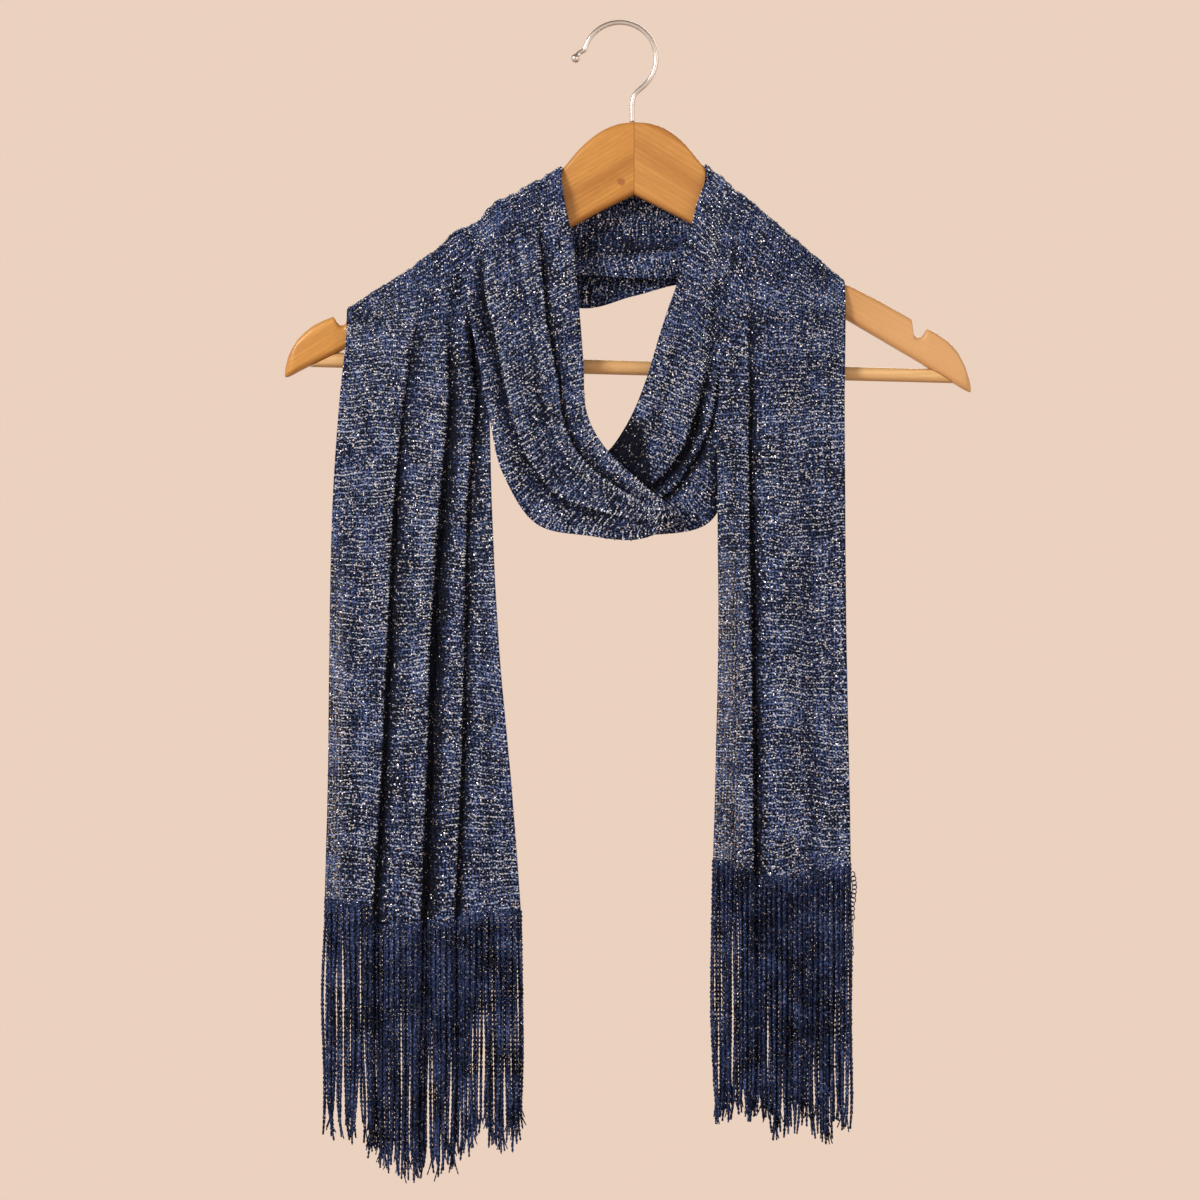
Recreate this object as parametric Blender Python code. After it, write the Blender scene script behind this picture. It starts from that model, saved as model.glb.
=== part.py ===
"""A long fringed shawl of openwork knit, wound once round a wooden coat hanger.

The cloth is one long band with a fringe at each end. It is modelled as two wraps, each a row of
sections from one end of the cloth to the middle of the hanging loop. A section gives the two
edges of the band, and the wall between them follows the pleats. Each stretch of a wrap that
shows is its own piece, parted from the next by a narrow seam.

Sizes in the tables are millimetres. +Z is up, -Y is the front. The origin is the inner top of
the hook, where the hanger rests on its rod.
"""
import math
import random

import bmesh
import bpy
import numpy as np

MM = 0.001

CLOTH_WALL = 1.2
SEAM_GAP = 0.4
WOOD_THICK = 12.0
WOOD_EDGE_RADIUS = 4.5
WOOD_EDGE_SHARE = 0.42
MITRE_X = 9.7
MITRE_GAP = 0.3
BAR_DIAMETER = 9.4
HOOK_WIRE = 3.3
HOOK_RADIUS = 23.5
HOOK_CENTRE_X = 0.6

STRANDS_PER_COLUMN = 4
STRAND_SIZE = 0.6
STRAND_SPREAD = 1.5
STRAND_DRIFT = 0.3
STRIP_HEIGHT = 2.4
HEM_GAP = 0.45
HEM_FADE = 60.0

# How the cloth rounds the top of a wing: distance behind the wing's middle, and drop from its top.
CLOSE_FOLD_OVER = ((-8.4, -7.5), (-6.5, -2.4), (0.0, 0.0), (6.5, -2.4), (8.4, -7.5))
WIDE_FOLD_OVER = ((-11.0, -9.0), (-7.0, -2.2), (0.0, 0.0), (8.5, -1.0), (13.0, -5.5), (15.0, -12.0))


def over_wing(name, profile, ax, az, bx, bz):
    """Sections that carry the band over a wing whose top line runs from a to b."""
    crest = profile.index((0.0, 0.0))
    return [(f"{name}{i}", ax, y, az + drop, bx, y, bz + drop, 0.0,
             2 if i in (crest - 1, crest) else 1)
            for i, (y, drop) in enumerate(profile)]


# Columns: section, edge a (x, y, z), edge b (x, y, z), share of the pleats' depth, mesh rows to
# the next section. The outer face is on the side of (b - a) x (direction of the wrap).
UNDER_WRAP = [
    ("hem", -189, -22, -569, -63, -20, -569, 1.00, 3),
    ("calf", -187, -22, -488, -69.5, -20, -488, 1.00, 3),
    ("low", -186, -22, -405, -77, -20, -405, 0.95, 3),
    ("mid", -184, -20, -309, -82, -18, -309, 0.85, 2),
    ("chest", -180, -16, -244, -84, -16, -244, 0.65, 2),
    ("under", -176, -11, -202, -87, -13, -186, 0.35, 1),
    *over_wing("left", CLOSE_FOLD_OVER, -176, -184, -92, -128),
    ("nape left", -143, 9, -198, -74, 9, -134, 0.6, 2),
    ("nape a", -91, 10, -189, -51, 10, -111, 1.0, 2),
    ("nape b", -29, 10, -162, -25, 10, -94, 1.0, 2),
    ("nape c", 10, 10, -163, 11, 10, -87, 1.0, 2),
    ("nape d", 46, 10, -159, 40, 10, -92, 0.8, 2),
    ("nape right", 72, 9.5, -142, 50, 9.5, -103, 0.4, 2),
    *over_wing("right", CLOSE_FOLD_OVER[::-1], 83, -113, 56, -90),
    ("fall a", 82, -10.5, -155, 50, -12, -118, 0.5, 1),
    ("fall b", 81, -12, -192, 40, -14, -160, 1.0, 2),
    ("fall c", 77, -12, -231, 27, -16, -199, 1.0, 1),
    ("fall d", 75, -12, -270, 16, -18, -235, 1.0, 1),
    ("fall e", 70, -12, -302, 5, -18, -260, 1.0, 2),
    ("turn a", 55, -14, -325, -7, -18, -277, 0.9, 2),
    ("turn b", 20, -14, -331, -19, -16, -280, 0.5, 2),
    ("turn c", -25, -14, -325, -28, -16, -260, 0.2, 2),
    ("rise a", -59, -12, -296, -32, -14, -225, 0.2, 1),
    ("rise b", -70, -12, -250, -35, -14, -186, 0.2, 1),
    ("rise c", -75, -12, -199, -38, -12, -151, 0.2, 1),
]

OVER_WRAP = [
    ("tuck", 42, -20, -331, 34, -34, -318, 0.3, 2),
    ("turn a", 13, -24, -335, 20, -36, -304, 0.7, 2),
    ("turn b", -19, -28, -332, 6, -32, -291, 1.0, 2),
    ("turn c", -52, -28, -325, -10, -26, -274, 1.0, 2),
    ("rise a", -74, -28, -293, -21, -22, -252, 1.0, 2),
    ("rise b", -83, -28, -257, -23, -20, -220, 1.0, 2),
    ("rise c", -90, -25, -219, -26, -18, -180, 1.0, 2),
    ("rise d", -95, -20, -180, -30, -14, -141, 0.9, 2),
    *over_wing("left", WIDE_FOLD_OVER, -90, -122, -37, -91.8),
    ("nape a", -61, 17, -170, -29, 17, -105, 0.6, 2),
    ("nape b", -25, 19, -182, -11, 19, -89, 1.0, 2),
    ("nape c", 10, 19, -174, 14, 19, -85, 1.0, 2),
    ("nape d", 47, 19, -166, 47, 19, -90, 1.0, 2),
    ("nape e", 92, 16, -177, 71, 17, -105, 0.8, 2),
    ("nape right", 131, 12, -181, 80, 14, -116, 0.3, 1),
    *over_wing("right", CLOSE_FOLD_OVER[::-1], 146, -166, 87, -116.5),
    ("under", 146, -12, -199, 70, -21, -178, 0.35, 2),
    ("chest", 145, -18, -244, 64, -22, -245, 0.7, 2),
    ("mid", 145, -23, -309, 63, -24, -309, 0.9, 3),
    ("low", 145.5, -24, -386, 63.5, -25, -386, 1.0, 3),
    ("calf", 147.5, -24, -488, 61.5, -25, -488, 1.0, 2),
    ("hem", 148.5, -24, -545, 60, -25, -545, 1.0, 1),
]

# Columns: depth (below the face, or above it if negative), width of the flank towards edge a,
# width of the flank towards edge b, then where the pleat lies: section and share of the way
# from edge a to edge b.
LEFT_TAIL_PLEATS = (
    (6.0, 4.0, 12.0, (("hem", 0.27), ("chest", 0.44), ("under", 0.52), ("left4", 0.50))),
    (8.5, 5.5, 8.0, (("hem", 0.53), ("low", 0.62), ("chest", 0.76), ("left4", 0.76))),
    (5.0, 4.0, 8.0, (("hem", 0.69), ("low", 0.80), ("chest", 0.88), ("left4", 0.88))),
)
NAPE_NEAR_PLEATS = (
    (3.0, 5.0, 8.0, (("left4", 0.40), ("nape b", 0.22), ("right0", 0.40))),
    (2.2, 6.0, 6.0, (("left4", 0.70), ("nape b", 0.55), ("right0", 0.70))),
)
LOOP_UNDER_PLEATS = (
    (4.5, 4.0, 6.0, (("right0", 0.28), ("fall c", 0.20), ("turn a", 0.26), ("rise c", 0.3))),
    (4.5, 4.0, 8.0, (("right0", 0.55), ("fall c", 0.48), ("turn a", 0.50), ("rise c", 0.6))),
)
LOOP_OVER_PLEATS = (
    (3.5, 6.0, 4.0, (("tuck", 0.30), ("turn c", 0.34), ("rise b", 0.27), ("left5", 0.16))),
    (3.0, 6.0, 5.0, (("tuck", 0.55), ("turn c", 0.60), ("rise b", 0.62), ("left5", 0.40))),
    (5.0, 4.0, 6.0, (("tuck", 0.80), ("turn c", 0.82), ("rise b", 0.80), ("rise c", 0.68),
                     ("left5", 0.62))),
)
NAPE_FAR_PLEATS = (
    (3.0, 6.0, 8.0, (("left5", 0.30), ("nape c", 0.24), ("right0", 0.30))),
    (2.2, 6.0, 6.0, (("left5", 0.62), ("nape c", 0.62), ("right0", 0.72))),
)
RIGHT_TAIL_PLEATS = (
    (2.6, 9.0, 9.0, (("right0", 0.26), ("mid", 0.27), ("hem", 0.28))),
    (-2.4, 7.0, 7.0, (("right0", 0.50), ("mid", 0.50), ("hem", 0.49))),
    (6.5, 8.0, 4.0, (("right0", 0.80), ("under", 0.77), ("chest", 0.71), ("low", 0.69),
                     ("hem", 0.655))),
)

# Where the hem and the fringe's tips hang: share of the way from edge a to edge b, and height.
LEFT_HEM = ((0.0, -565), (0.11, -568), (0.235, -568), (0.295, -583), (0.49, -583), (0.55, -579),
            (0.60, -583), (0.67, -583), (0.73, -574), (1.0, -574))
LEFT_TIPS = ((0.0, -716), (0.19, -721), (0.29, -738), (0.44, -745), (0.66, -740), (0.78, -720),
             (0.93, -728), (1.0, -722))
RIGHT_HEM = ((0.0, -543), (0.54, -552), (0.65, -552), (0.72, -546), (0.84, -546), (0.90, -541),
             (1.0, -541))
RIGHT_TIPS = ((0.0, -712), (0.18, -719), (0.34, -714), (0.55, -716), (0.68, -707), (0.78, -701),
              (0.88, -706), (1.0, -710))

# Places where the fringe parts into locks, and how far it opens there.
LEFT_PARTINGS = ((-177, 4.0, 8.0), (-158, 3.0, 6.0), (-123, 4.5, 9.0), (-87, 4.0, 9.0))
RIGHT_PARTINGS = ((68, 1.6, 5.0), (90, 3.0, 8.0), (119, 2.0, 8.0))

# Columns: x, top z, bottom z of the wooden wings, from the mitre out to the tip.
LEFT_WING = (
    (MITRE_X - MITRE_GAP / 2, -63, -110.3), (-1, -64.5, -115.5), (-12, -70, -121), (-25, -81, -128),
    (-37, -94, -134.5), (-60, -110.5, -146.7), (-92, -132.6, -164), (-135, -160.3, -187.3),
    (-174, -184.9, -208.4), (-178.5, -195, -210.8), (-184.5, -189.3, -213.8), (-195, -197, -219),
    (-206, -205.5, -224.5), (-213, -214.5, -228), (-216.5, -222, -228.5),
)
RIGHT_WING = (
    (MITRE_X + MITRE_GAP / 2, -63, -110.3), (20, -64.5, -115.4), (32, -70, -121.5), (45, -81, -128),
    (56, -92.4, -134.6), (83, -115.4, -151.3), (100, -129.7, -162), (146, -168.4, -190.5),
    (186.5, -189.5, -214.2), (193, -202, -218), (199.5, -197, -221.8), (215, -210, -230.9),
    (225, -225, -236.8), (228, -234, -238.3),
)
BAR_LEFT = (-198.8, -221.2, 0.49)
BAR_RIGHT = (215.4, -231.2, -0.5875)


def material(name, colour, roughness, metallic=0.0):
    """One Principled BSDF finish."""
    mat = bpy.data.materials.new(name)
    mat.use_nodes = True
    bsdf = mat.node_tree.nodes["Principled BSDF"]
    bsdf.inputs["Base Color"].default_value = (*colour, 1.0)
    bsdf.inputs["Roughness"].default_value = roughness
    bsdf.inputs["Metallic"].default_value = metallic
    mat.diffuse_color = (*colour, 1.0)
    return mat


def add_object(name, mesh_builder, mat):
    """Make an object from a bmesh in millimetres."""
    bmesh.ops.scale(mesh_builder, vec=(MM, MM, MM), verts=mesh_builder.verts)
    mesh = bpy.data.meshes.new(name)
    mesh_builder.to_mesh(mesh)
    mesh_builder.free()
    obj = bpy.data.objects.new(name, mesh)
    bpy.context.collection.objects.link(obj)
    mesh.materials.append(mat)
    mesh.shade_smooth()
    return obj


def smooth_through(knots, values, at):
    """A smooth curve through values at uneven knots, with no overshoot at the short spans."""
    knots, values, at = (np.asarray(a, float) for a in (knots, values, at))
    spans = np.diff(knots)[:, None]
    slopes = np.diff(values, axis=0) / spans
    tangents = np.vstack([
        slopes[:1],
        (slopes[:-1] * spans[1:] + slopes[1:] * spans[:-1]) / (spans[1:] + spans[:-1]),
        slopes[-1:],
    ])
    i = np.clip(np.searchsorted(knots, at, side="right") - 1, 0, len(spans) - 1)
    h = spans[i]
    t = ((at - knots[i]) / h[:, 0])[:, None]
    return (values[i] * (1 + 2 * t) * (1 - t) ** 2 + values[i + 1] * t ** 2 * (3 - 2 * t)
            + tangents[i] * h * t * (1 - t) ** 2 + tangents[i + 1] * h * t ** 2 * (t - 1))


def along_table(table, at):
    """Heights along a hem or a row of tips, by share of the way across."""
    return np.interp(at, [row[0] for row in table], [row[1] for row in table])


class Wrap:
    """One half of the shawl: a band through a list of sections."""

    def __init__(self, sections, pleats_by_piece, hem=None, hem_section="hem"):
        self.names = [row[0] for row in sections]
        self.a = np.array([row[1:4] for row in sections], float)
        self.b = np.array([row[4:7] for row in sections], float)
        self.play = np.array([[row[7]] for row in sections])
        self.rows = [row[8] for row in sections]
        middles = (self.a + self.b) / 2
        steps = np.linalg.norm(np.diff(middles, axis=0), axis=1)
        self.knots = np.concatenate([[0.0], np.cumsum(steps)])
        self.pleats_by_piece = pleats_by_piece
        self.hem = hem
        self.hem_z = self.a[self.names.index(hem_section), 2] if hem else 0.0

    def at(self, name):
        """How far along the wrap a named section lies."""
        return self.knots[self.names.index(name)]

    def pleat_centres(self, piece, u):
        """Share of the way across at which each pleat of a piece lies, at u along the wrap."""
        return [np.interp(u, [self.at(name) for name, _ in path], [s for _, s in path])
                for _, _, _, path in self.pleats_by_piece[piece]]

    def points(self, piece, s, u):
        """Points of the cloth's outer face, s across from edge a to edge b, u along the wrap."""
        s = np.asarray(s, float)
        u = np.asarray(u, float)
        a = smooth_through(self.knots, self.a, u)
        b = smooth_through(self.knots, self.b, u)
        step = 0.5
        ahead = smooth_through(self.knots, self.a, u + step) * (1 - s)[:, None] \
            + smooth_through(self.knots, self.b, u + step) * s[:, None]
        behind = smooth_through(self.knots, self.a, u - step) * (1 - s)[:, None] \
            + smooth_through(self.knots, self.b, u - step) * s[:, None]
        across = b - a
        width = np.linalg.norm(across, axis=1)
        facing = np.cross(across, ahead - behind)
        facing /= np.linalg.norm(facing, axis=1)[:, None]
        play = smooth_through(self.knots, self.play, u)[:, 0]
        lift = np.zeros_like(s)
        for pleat, centre in zip(self.pleats_by_piece[piece], self.pleat_centres(piece, u)):
            depth, flank_a, flank_b, _ = pleat
            off = (s - centre) * width
            flank = np.where(off < 0, flank_a, flank_b)
            lift -= depth * np.exp(-(off / flank) ** 2)
        found = a + across * s[:, None] + facing * (lift * play)[:, None]
        if self.hem:
            fade = np.clip((found[:, 2] - self.hem_z) / HEM_FADE, 0, 1)
            found[:, 2] += (along_table(self.hem, s) - self.hem_z) * (1 - fade) ** 2
        return found

    def faces(self, piece, start, end, panels, trim_start=True, trim_end=True):
        """Outer and inner points of a piece, in rows along the wrap and columns across it."""
        first, last = self.names.index(start), self.names.index(end)
        along = []
        for i in range(first, last):
            along += list(np.linspace(self.knots[i], self.knots[i + 1], self.rows[i] + 1)[:-1])
        along.append(self.knots[last])
        along = np.array(along)
        along[0] += SEAM_GAP / 2 if trim_start else 0.0
        along[-1] -= SEAM_GAP / 2 if trim_end else 0.0
        outer, inner = [], []
        for u in along:
            marks = [0.0, *self.pleat_centres(piece, u), 1.0]
            s = np.concatenate([np.linspace(marks[i], marks[i + 1], n + 1)[:-1]
                                for i, n in enumerate(panels)] + [[1.0]])
            uu = np.full_like(s, u)
            ds, du = 0.004, 0.4
            side = self.points(piece, s + ds, uu) - self.points(piece, s - ds, uu)
            forward = self.points(piece, s, uu + du) - self.points(piece, s, uu - du)
            normal = np.cross(side, forward)
            normal /= np.linalg.norm(normal, axis=1)[:, None]
            face = self.points(piece, s, uu)
            outer.append(face)
            inner.append(face - normal * CLOTH_WALL)
        return np.array(outer), np.array(inner)


def wall_mesh(outer, inner):
    """Close the space between two grids of points into one wall."""
    bm = bmesh.new()
    rows, columns = outer.shape[:2]
    front = [[bm.verts.new(p) for p in row] for row in outer]
    back = [[bm.verts.new(p) for p in row] for row in inner]
    for r in range(rows - 1):
        for c in range(columns - 1):
            bm.faces.new((front[r][c], front[r][c + 1], front[r + 1][c + 1], front[r + 1][c]))
            bm.faces.new((back[r][c], back[r + 1][c], back[r + 1][c + 1], back[r][c + 1]))
    for c in range(columns - 1):
        bm.faces.new((front[0][c], back[0][c], back[0][c + 1], front[0][c + 1]))
        bm.faces.new((front[-1][c], front[-1][c + 1], back[-1][c + 1], back[-1][c]))
    for r in range(rows - 1):
        bm.faces.new((front[r][0], front[r + 1][0], back[r + 1][0], back[r][0]))
        bm.faces.new((front[r][-1], back[r][-1], back[r + 1][-1], front[r + 1][-1]))
    return bm


def part_locks(x, partings, progress):
    """Sideways shift of a strand as the fringe opens into locks towards its tips."""
    shift = 0.0
    for centre, opening, reach in partings:
        off = (x - centre) / reach
        shift += opening * off * math.exp(-off * off)
    return shift * progress


def fringe_mesh(outer, inner, tips, partings, share_from_a, seed):
    """A narrow strip below the hem with the strands that hang from it, as one body."""
    rng = random.Random(seed)
    count = (len(outer) - 1) * STRANDS_PER_COLUMN
    places = np.linspace(0, len(outer) - 1, count + 1)
    columns = np.arange(len(outer))

    def along_hem(points):
        return np.stack([np.interp(places, columns, points[:, k]) for k in range(3)], axis=1)

    bm = bmesh.new()
    rings = []
    for drop in (HEM_GAP, HEM_GAP + STRIP_HEIGHT):
        offset = np.array((0.0, 0.0, -drop))
        rings.append(([bm.verts.new(p) for p in along_hem(outer) + offset],
                      [bm.verts.new(p) for p in along_hem(inner) + offset]))
    (top_out, top_in), (low_out, low_in) = rings
    for i in range(count):
        bm.faces.new((top_out[i], top_in[i], top_in[i + 1], top_out[i + 1]))
        bm.faces.new((top_out[i], top_out[i + 1], low_out[i + 1], low_out[i]))
        bm.faces.new((top_in[i], low_in[i], low_in[i + 1], top_in[i + 1]))
    bm.faces.new((top_out[0], low_out[0], low_in[0], top_in[0]))
    bm.faces.new((top_out[-1], top_in[-1], low_in[-1], low_out[-1]))

    half = STRAND_SIZE / 2
    corners = ((-half, half), (half, half), (half, -half), (-half, -half))
    share = np.interp(places, columns, share_from_a)
    for i in range(count):
        root = (low_out[i], low_out[i + 1], low_in[i + 1], low_in[i])
        centre = sum((v.co.copy() for v in root[1:]), root[0].co.copy()) / 4
        out = (root[0].co + root[1].co - root[2].co - root[3].co).to_2d().normalized().to_3d()
        side = (root[1].co + root[2].co - root[0].co - root[3].co).to_2d().normalized().to_3d()
        tip_z = float(along_table(tips, (share[i] + share[i + 1]) / 2)) + rng.uniform(-7, 3)
        sway = STRAND_SPREAD * (1 if i % 2 else -1)
        drift = rng.uniform(-STRAND_DRIFT, STRAND_DRIFT)
        bend = rng.uniform(0.35, 0.5)
        belly = 1.5 * sway * bend
        middle = centre + out * belly + side * drift * bend
        middle.x += part_locks(centre.x, partings, bend)
        middle.z += (tip_z - centre.z) * bend
        end = centre + out * sway + side * drift
        end.x += part_locks(centre.x, partings, 1.0)
        end.z = tip_z
        ring = [bm.verts.new(middle + side * across + out * through) for across, through in corners]
        tip = bm.verts.new(end)
        for k in range(4):
            n = (k + 1) % 4
            bm.faces.new((root[k], root[n], ring[n], ring[k]))
            bm.faces.new((ring[k], ring[n], tip))
    bmesh.ops.recalc_face_normals(bm, faces=bm.faces)
    return bm


def wing_mesh(stations):
    """A wooden wing: rounded upright sections through its top and bottom lines."""
    bm = bmesh.new()
    half = WOOD_THICK / 2
    rings = []
    for x, top, bottom in stations:
        radius = min(WOOD_EDGE_RADIUS, (top - bottom) * WOOD_EDGE_SHARE)
        ring = []
        for quarter, (cy, cz) in enumerate(((half - radius, top - radius),
                                            (radius - half, top - radius),
                                            (radius - half, bottom + radius),
                                            (half - radius, bottom + radius))):
            for step in range(3):
                angle = math.radians(90 * quarter + 45 * step)
                ring.append(bm.verts.new((x, cy + radius * math.cos(angle),
                                          cz + radius * math.sin(angle))))
        rings.append(ring)
    for near, far in zip(rings, rings[1:]):
        for k in range(len(near)):
            n = (k + 1) % len(near)
            bm.faces.new((near[k], near[n], far[n], far[k]))
    bm.faces.new(rings[0])
    bm.faces.new(rings[-1][::-1])
    bmesh.ops.recalc_face_normals(bm, faces=bm.faces)
    return bm


def bar_mesh():
    """The trouser bar: a dowel whose ends are cut to lie just under the two wings."""
    bm = bmesh.new()
    radius = BAR_DIAMETER / 2
    rings = []
    for x_end, z_end, slope in (BAR_LEFT, BAR_RIGHT):
        inset = math.copysign(MITRE_GAP * 2, slope)
        ring = []
        for k in range(12):
            angle = math.radians(30 * k)
            dz = radius * math.sin(angle)
            ring.append(bm.verts.new((x_end + inset + dz / slope, radius * math.cos(angle),
                                      z_end + dz)))
        rings.append(ring)
    for k in range(12):
        n = (k + 1) % 12
        bm.faces.new((rings[0][k], rings[0][n], rings[1][n], rings[1][k]))
    bm.faces.new(rings[0])
    bm.faces.new(rings[1][::-1])
    bmesh.ops.recalc_face_normals(bm, faces=bm.faces)
    return bm


def make_hook(mat):
    """The swivel hook: a bent wire that ends in a small ball."""
    centre_z = HOOK_WIRE / 2 - HOOK_RADIUS
    path = [(8.5, -62.7, 1.0), (8.5, -52.0, 1.0), (9.6, -46.5, 1.0)]
    for degrees in range(-45, 166, 14):
        angle = math.radians(degrees)
        path.append((HOOK_CENTRE_X + HOOK_RADIUS * math.cos(angle),
                     centre_z + HOOK_RADIUS * math.sin(angle), 1.0))
    path += [(-26.2, -18.6, 1.0), (-27.4, -20.4, 1.6), (-28.4, -21.8, 1.75), (-29.4, -23.2, 1.3),
             (-29.9, -23.9, 0.4)]
    curve = bpy.data.curves.new("hook", "CURVE")
    curve.dimensions = "3D"
    curve.bevel_depth = HOOK_WIRE / 2 * MM
    curve.bevel_resolution = 2
    curve.use_fill_caps = True
    spline = curve.splines.new("POLY")
    spline.points.add(len(path) - 1)
    for point, (x, z, swell) in zip(spline.points, path):
        point.co = (x * MM, 0.0, z * MM, 1.0)
        point.radius = swell
    curve.materials.append(mat)
    obj = bpy.data.objects.new("hook", curve)
    bpy.context.collection.objects.link(obj)
    return obj


def build():
    """Make every piece of the shawl and its hanger."""
    for obj in list(bpy.data.objects):
        bpy.data.objects.remove(obj, do_unlink=True)

    knit = material("navy knit", (0.035, 0.055, 0.13), 0.6, 0.2)
    fringe = material("navy fringe", (0.03, 0.04, 0.09), 0.6, 0.2)
    wood = material("varnished pine", (0.62, 0.30, 0.09), 0.35)
    steel = material("polished steel", (0.75, 0.74, 0.72), 0.2, 1.0)

    under = Wrap(UNDER_WRAP, {"tail_left": LEFT_TAIL_PLEATS, "band_near": NAPE_NEAR_PLEATS,
                              "loop_under": LOOP_UNDER_PLEATS}, LEFT_HEM)
    over = Wrap(OVER_WRAP, {"loop_over": LOOP_OVER_PLEATS, "band_far": NAPE_FAR_PLEATS,
                            "tail_right": RIGHT_TAIL_PLEATS}, RIGHT_HEM)

    pieces = (
        (under, "tail_left", "hem", "left4", (7, 7, 4, 8), False, True),
        (under, "band_near", "left4", "right0", (5, 5, 5), True, True),
        (under, "loop_under", "right0", "rise c", (5, 5, 7), True, False),
        (over, "loop_over", "tuck", "left5", (6, 6, 5, 5), False, True),
        (over, "band_far", "left5", "right0", (5, 5, 5), True, True),
        (over, "tail_right", "right0", "hem", (6, 5, 4, 8), True, False),
    )
    for wrap, name, start, end, panels, trim_start, trim_end in pieces:
        outer, inner = wrap.faces(name, start, end, panels, trim_start, trim_end)
        add_object(name, wall_mesh(outer, inner), knit)
        if name.startswith("tail"):
            row, tips, partings, seed = ((0, LEFT_TIPS, LEFT_PARTINGS, 4)
                                         if name == "tail_left"
                                         else (-1, RIGHT_TIPS, RIGHT_PARTINGS, 5))
            a, b = outer[row][0], outer[row][-1]
            share = (outer[row][:, 0] - a[0]) / (b[0] - a[0])
            side = name.split("_")[1]
            add_object(f"fringe_{side}",
                       fringe_mesh(outer[row], inner[row], tips, partings, share, seed), fringe)

    add_object("wing_left", wing_mesh(LEFT_WING), wood)
    add_object("wing_right", wing_mesh(RIGHT_WING), wood)
    add_object("bar", bar_mesh(), wood)
    make_hook(steel)


build()
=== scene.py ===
# %% [markdown]
# # A fringed shawl on a wooden coat hanger
# The real shawl is one long band of openwork warp knit. Upright chains of loops, the pillars,
# are tied together by rows of metallic yarn that is laid across them, and past each hem the
# pillars hang free as a fringe. The band is wound once round a hanger. This lesson rebuilds
# its finish round a finished frame of solids, so the first step is to load that frame.

# %% Load the frame
import math
import random

import bmesh
import bpy
import numpy as np
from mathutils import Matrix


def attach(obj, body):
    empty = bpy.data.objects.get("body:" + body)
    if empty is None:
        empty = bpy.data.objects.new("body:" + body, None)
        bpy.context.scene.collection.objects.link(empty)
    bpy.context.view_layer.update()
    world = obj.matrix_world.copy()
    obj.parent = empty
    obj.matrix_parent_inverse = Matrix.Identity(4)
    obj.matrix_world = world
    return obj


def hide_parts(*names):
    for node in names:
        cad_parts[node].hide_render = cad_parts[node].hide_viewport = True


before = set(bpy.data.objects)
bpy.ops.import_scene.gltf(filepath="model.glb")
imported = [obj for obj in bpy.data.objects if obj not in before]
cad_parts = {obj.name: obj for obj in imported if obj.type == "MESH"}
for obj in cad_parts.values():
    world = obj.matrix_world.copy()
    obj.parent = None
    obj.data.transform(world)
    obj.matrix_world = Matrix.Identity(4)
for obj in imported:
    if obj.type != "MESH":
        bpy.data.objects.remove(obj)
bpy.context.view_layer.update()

MM = 0.001


# %% [markdown]
# ## Small helpers
# A node tree is easier to read when each node takes one line. These helpers add a node with its
# settings and inputs, and an input may be a value or the output of another node. The last one
# puts an object into the scene.

# %% Node helpers
def feed(tree, target, inputs):
    """Fill a node's inputs: each takes a value or the output of another node."""
    for key, value in inputs.items():
        if isinstance(value, bpy.types.NodeSocket):
            tree.links.new(value, target.inputs[key])
        else:
            target.inputs[key].default_value = value


def node(tree, kind, inputs=None, **settings):
    """Add one node, set it up and feed it."""
    made = tree.nodes.new(kind)
    for key, value in settings.items():
        setattr(made, key, value)
    feed(tree, made, inputs or {})
    return made


def calc(tree, operation, a, b=0.0, c=0.5):
    """The result of one Math node."""
    return node(tree, "ShaderNodeMath", {0: a, 1: b, 2: c}, operation=operation).outputs[0]


def times(tree, a, b):
    """The product of two values."""
    return calc(tree, "MULTIPLY", a, b)


def blend_colours(tree, factor, a, b):
    """Mix two colours by a factor."""
    return node(tree, "ShaderNodeMix", {0: factor, 6: a, 7: b}, data_type="RGBA").outputs[2]


def ramp(tree, factor, low, high):
    """Spread a factor from low..high to 0..1, held at the ends."""
    return node(tree, "ShaderNodeMapRange", {"Value": factor, "From Min": low, "From Max": high},
                clamp=True, interpolation_type="SMOOTHSTEP").outputs[0]


def noise(tree, vector, scale, detail=2.0):
    """The outputs of a noise texture."""
    return node(tree, "ShaderNodeTexNoise",
                {"Vector": vector, "Scale": scale, "Detail": detail}).outputs


def stored(tree, name):
    """A number that is stored on the mesh."""
    return node(tree, "ShaderNodeAttribute", attribute_name=name).outputs["Fac"]


def own_place(tree):
    """Where a point lies in its object."""
    return node(tree, "ShaderNodeTexCoord").outputs["Object"]


def add_bump(tree, bsdf, height, strength, distance):
    """Let a height shape the surface."""
    bump = node(tree, "ShaderNodeBump",
                {"Height": height, "Strength": strength, "Distance": distance})
    feed(tree, bsdf, {"Normal": bump.outputs[0]})


def new_group(kind, name, inputs, outputs):
    """A node group with named sockets, and its input and output nodes."""
    group = bpy.data.node_groups.new(name, kind)
    for label, socket_kind, value in inputs:
        socket = group.interface.new_socket(label, in_out="INPUT",
                                            socket_type="NodeSocket" + socket_kind)
        if value is not None:
            socket.default_value = value
    for label, socket_kind in outputs:
        group.interface.new_socket(label, in_out="OUTPUT",
                                   socket_type="NodeSocket" + socket_kind)
    return group, group.nodes.new("NodeGroupInput").outputs, group.nodes.new("NodeGroupOutput")


def new_material(name, **sockets):
    """A material with one Principled BSDF, whose constant values are set on its own sockets."""
    mat = bpy.data.materials.new(name)
    mat.use_nodes = True
    tree = mat.node_tree
    bsdf = tree.nodes["Principled BSDF"]
    for label, value in sockets.items():
        bsdf.inputs[label.replace("_", " ").title().replace("Ior", "IOR")].default_value = value
    return mat, tree, bsdf


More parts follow.
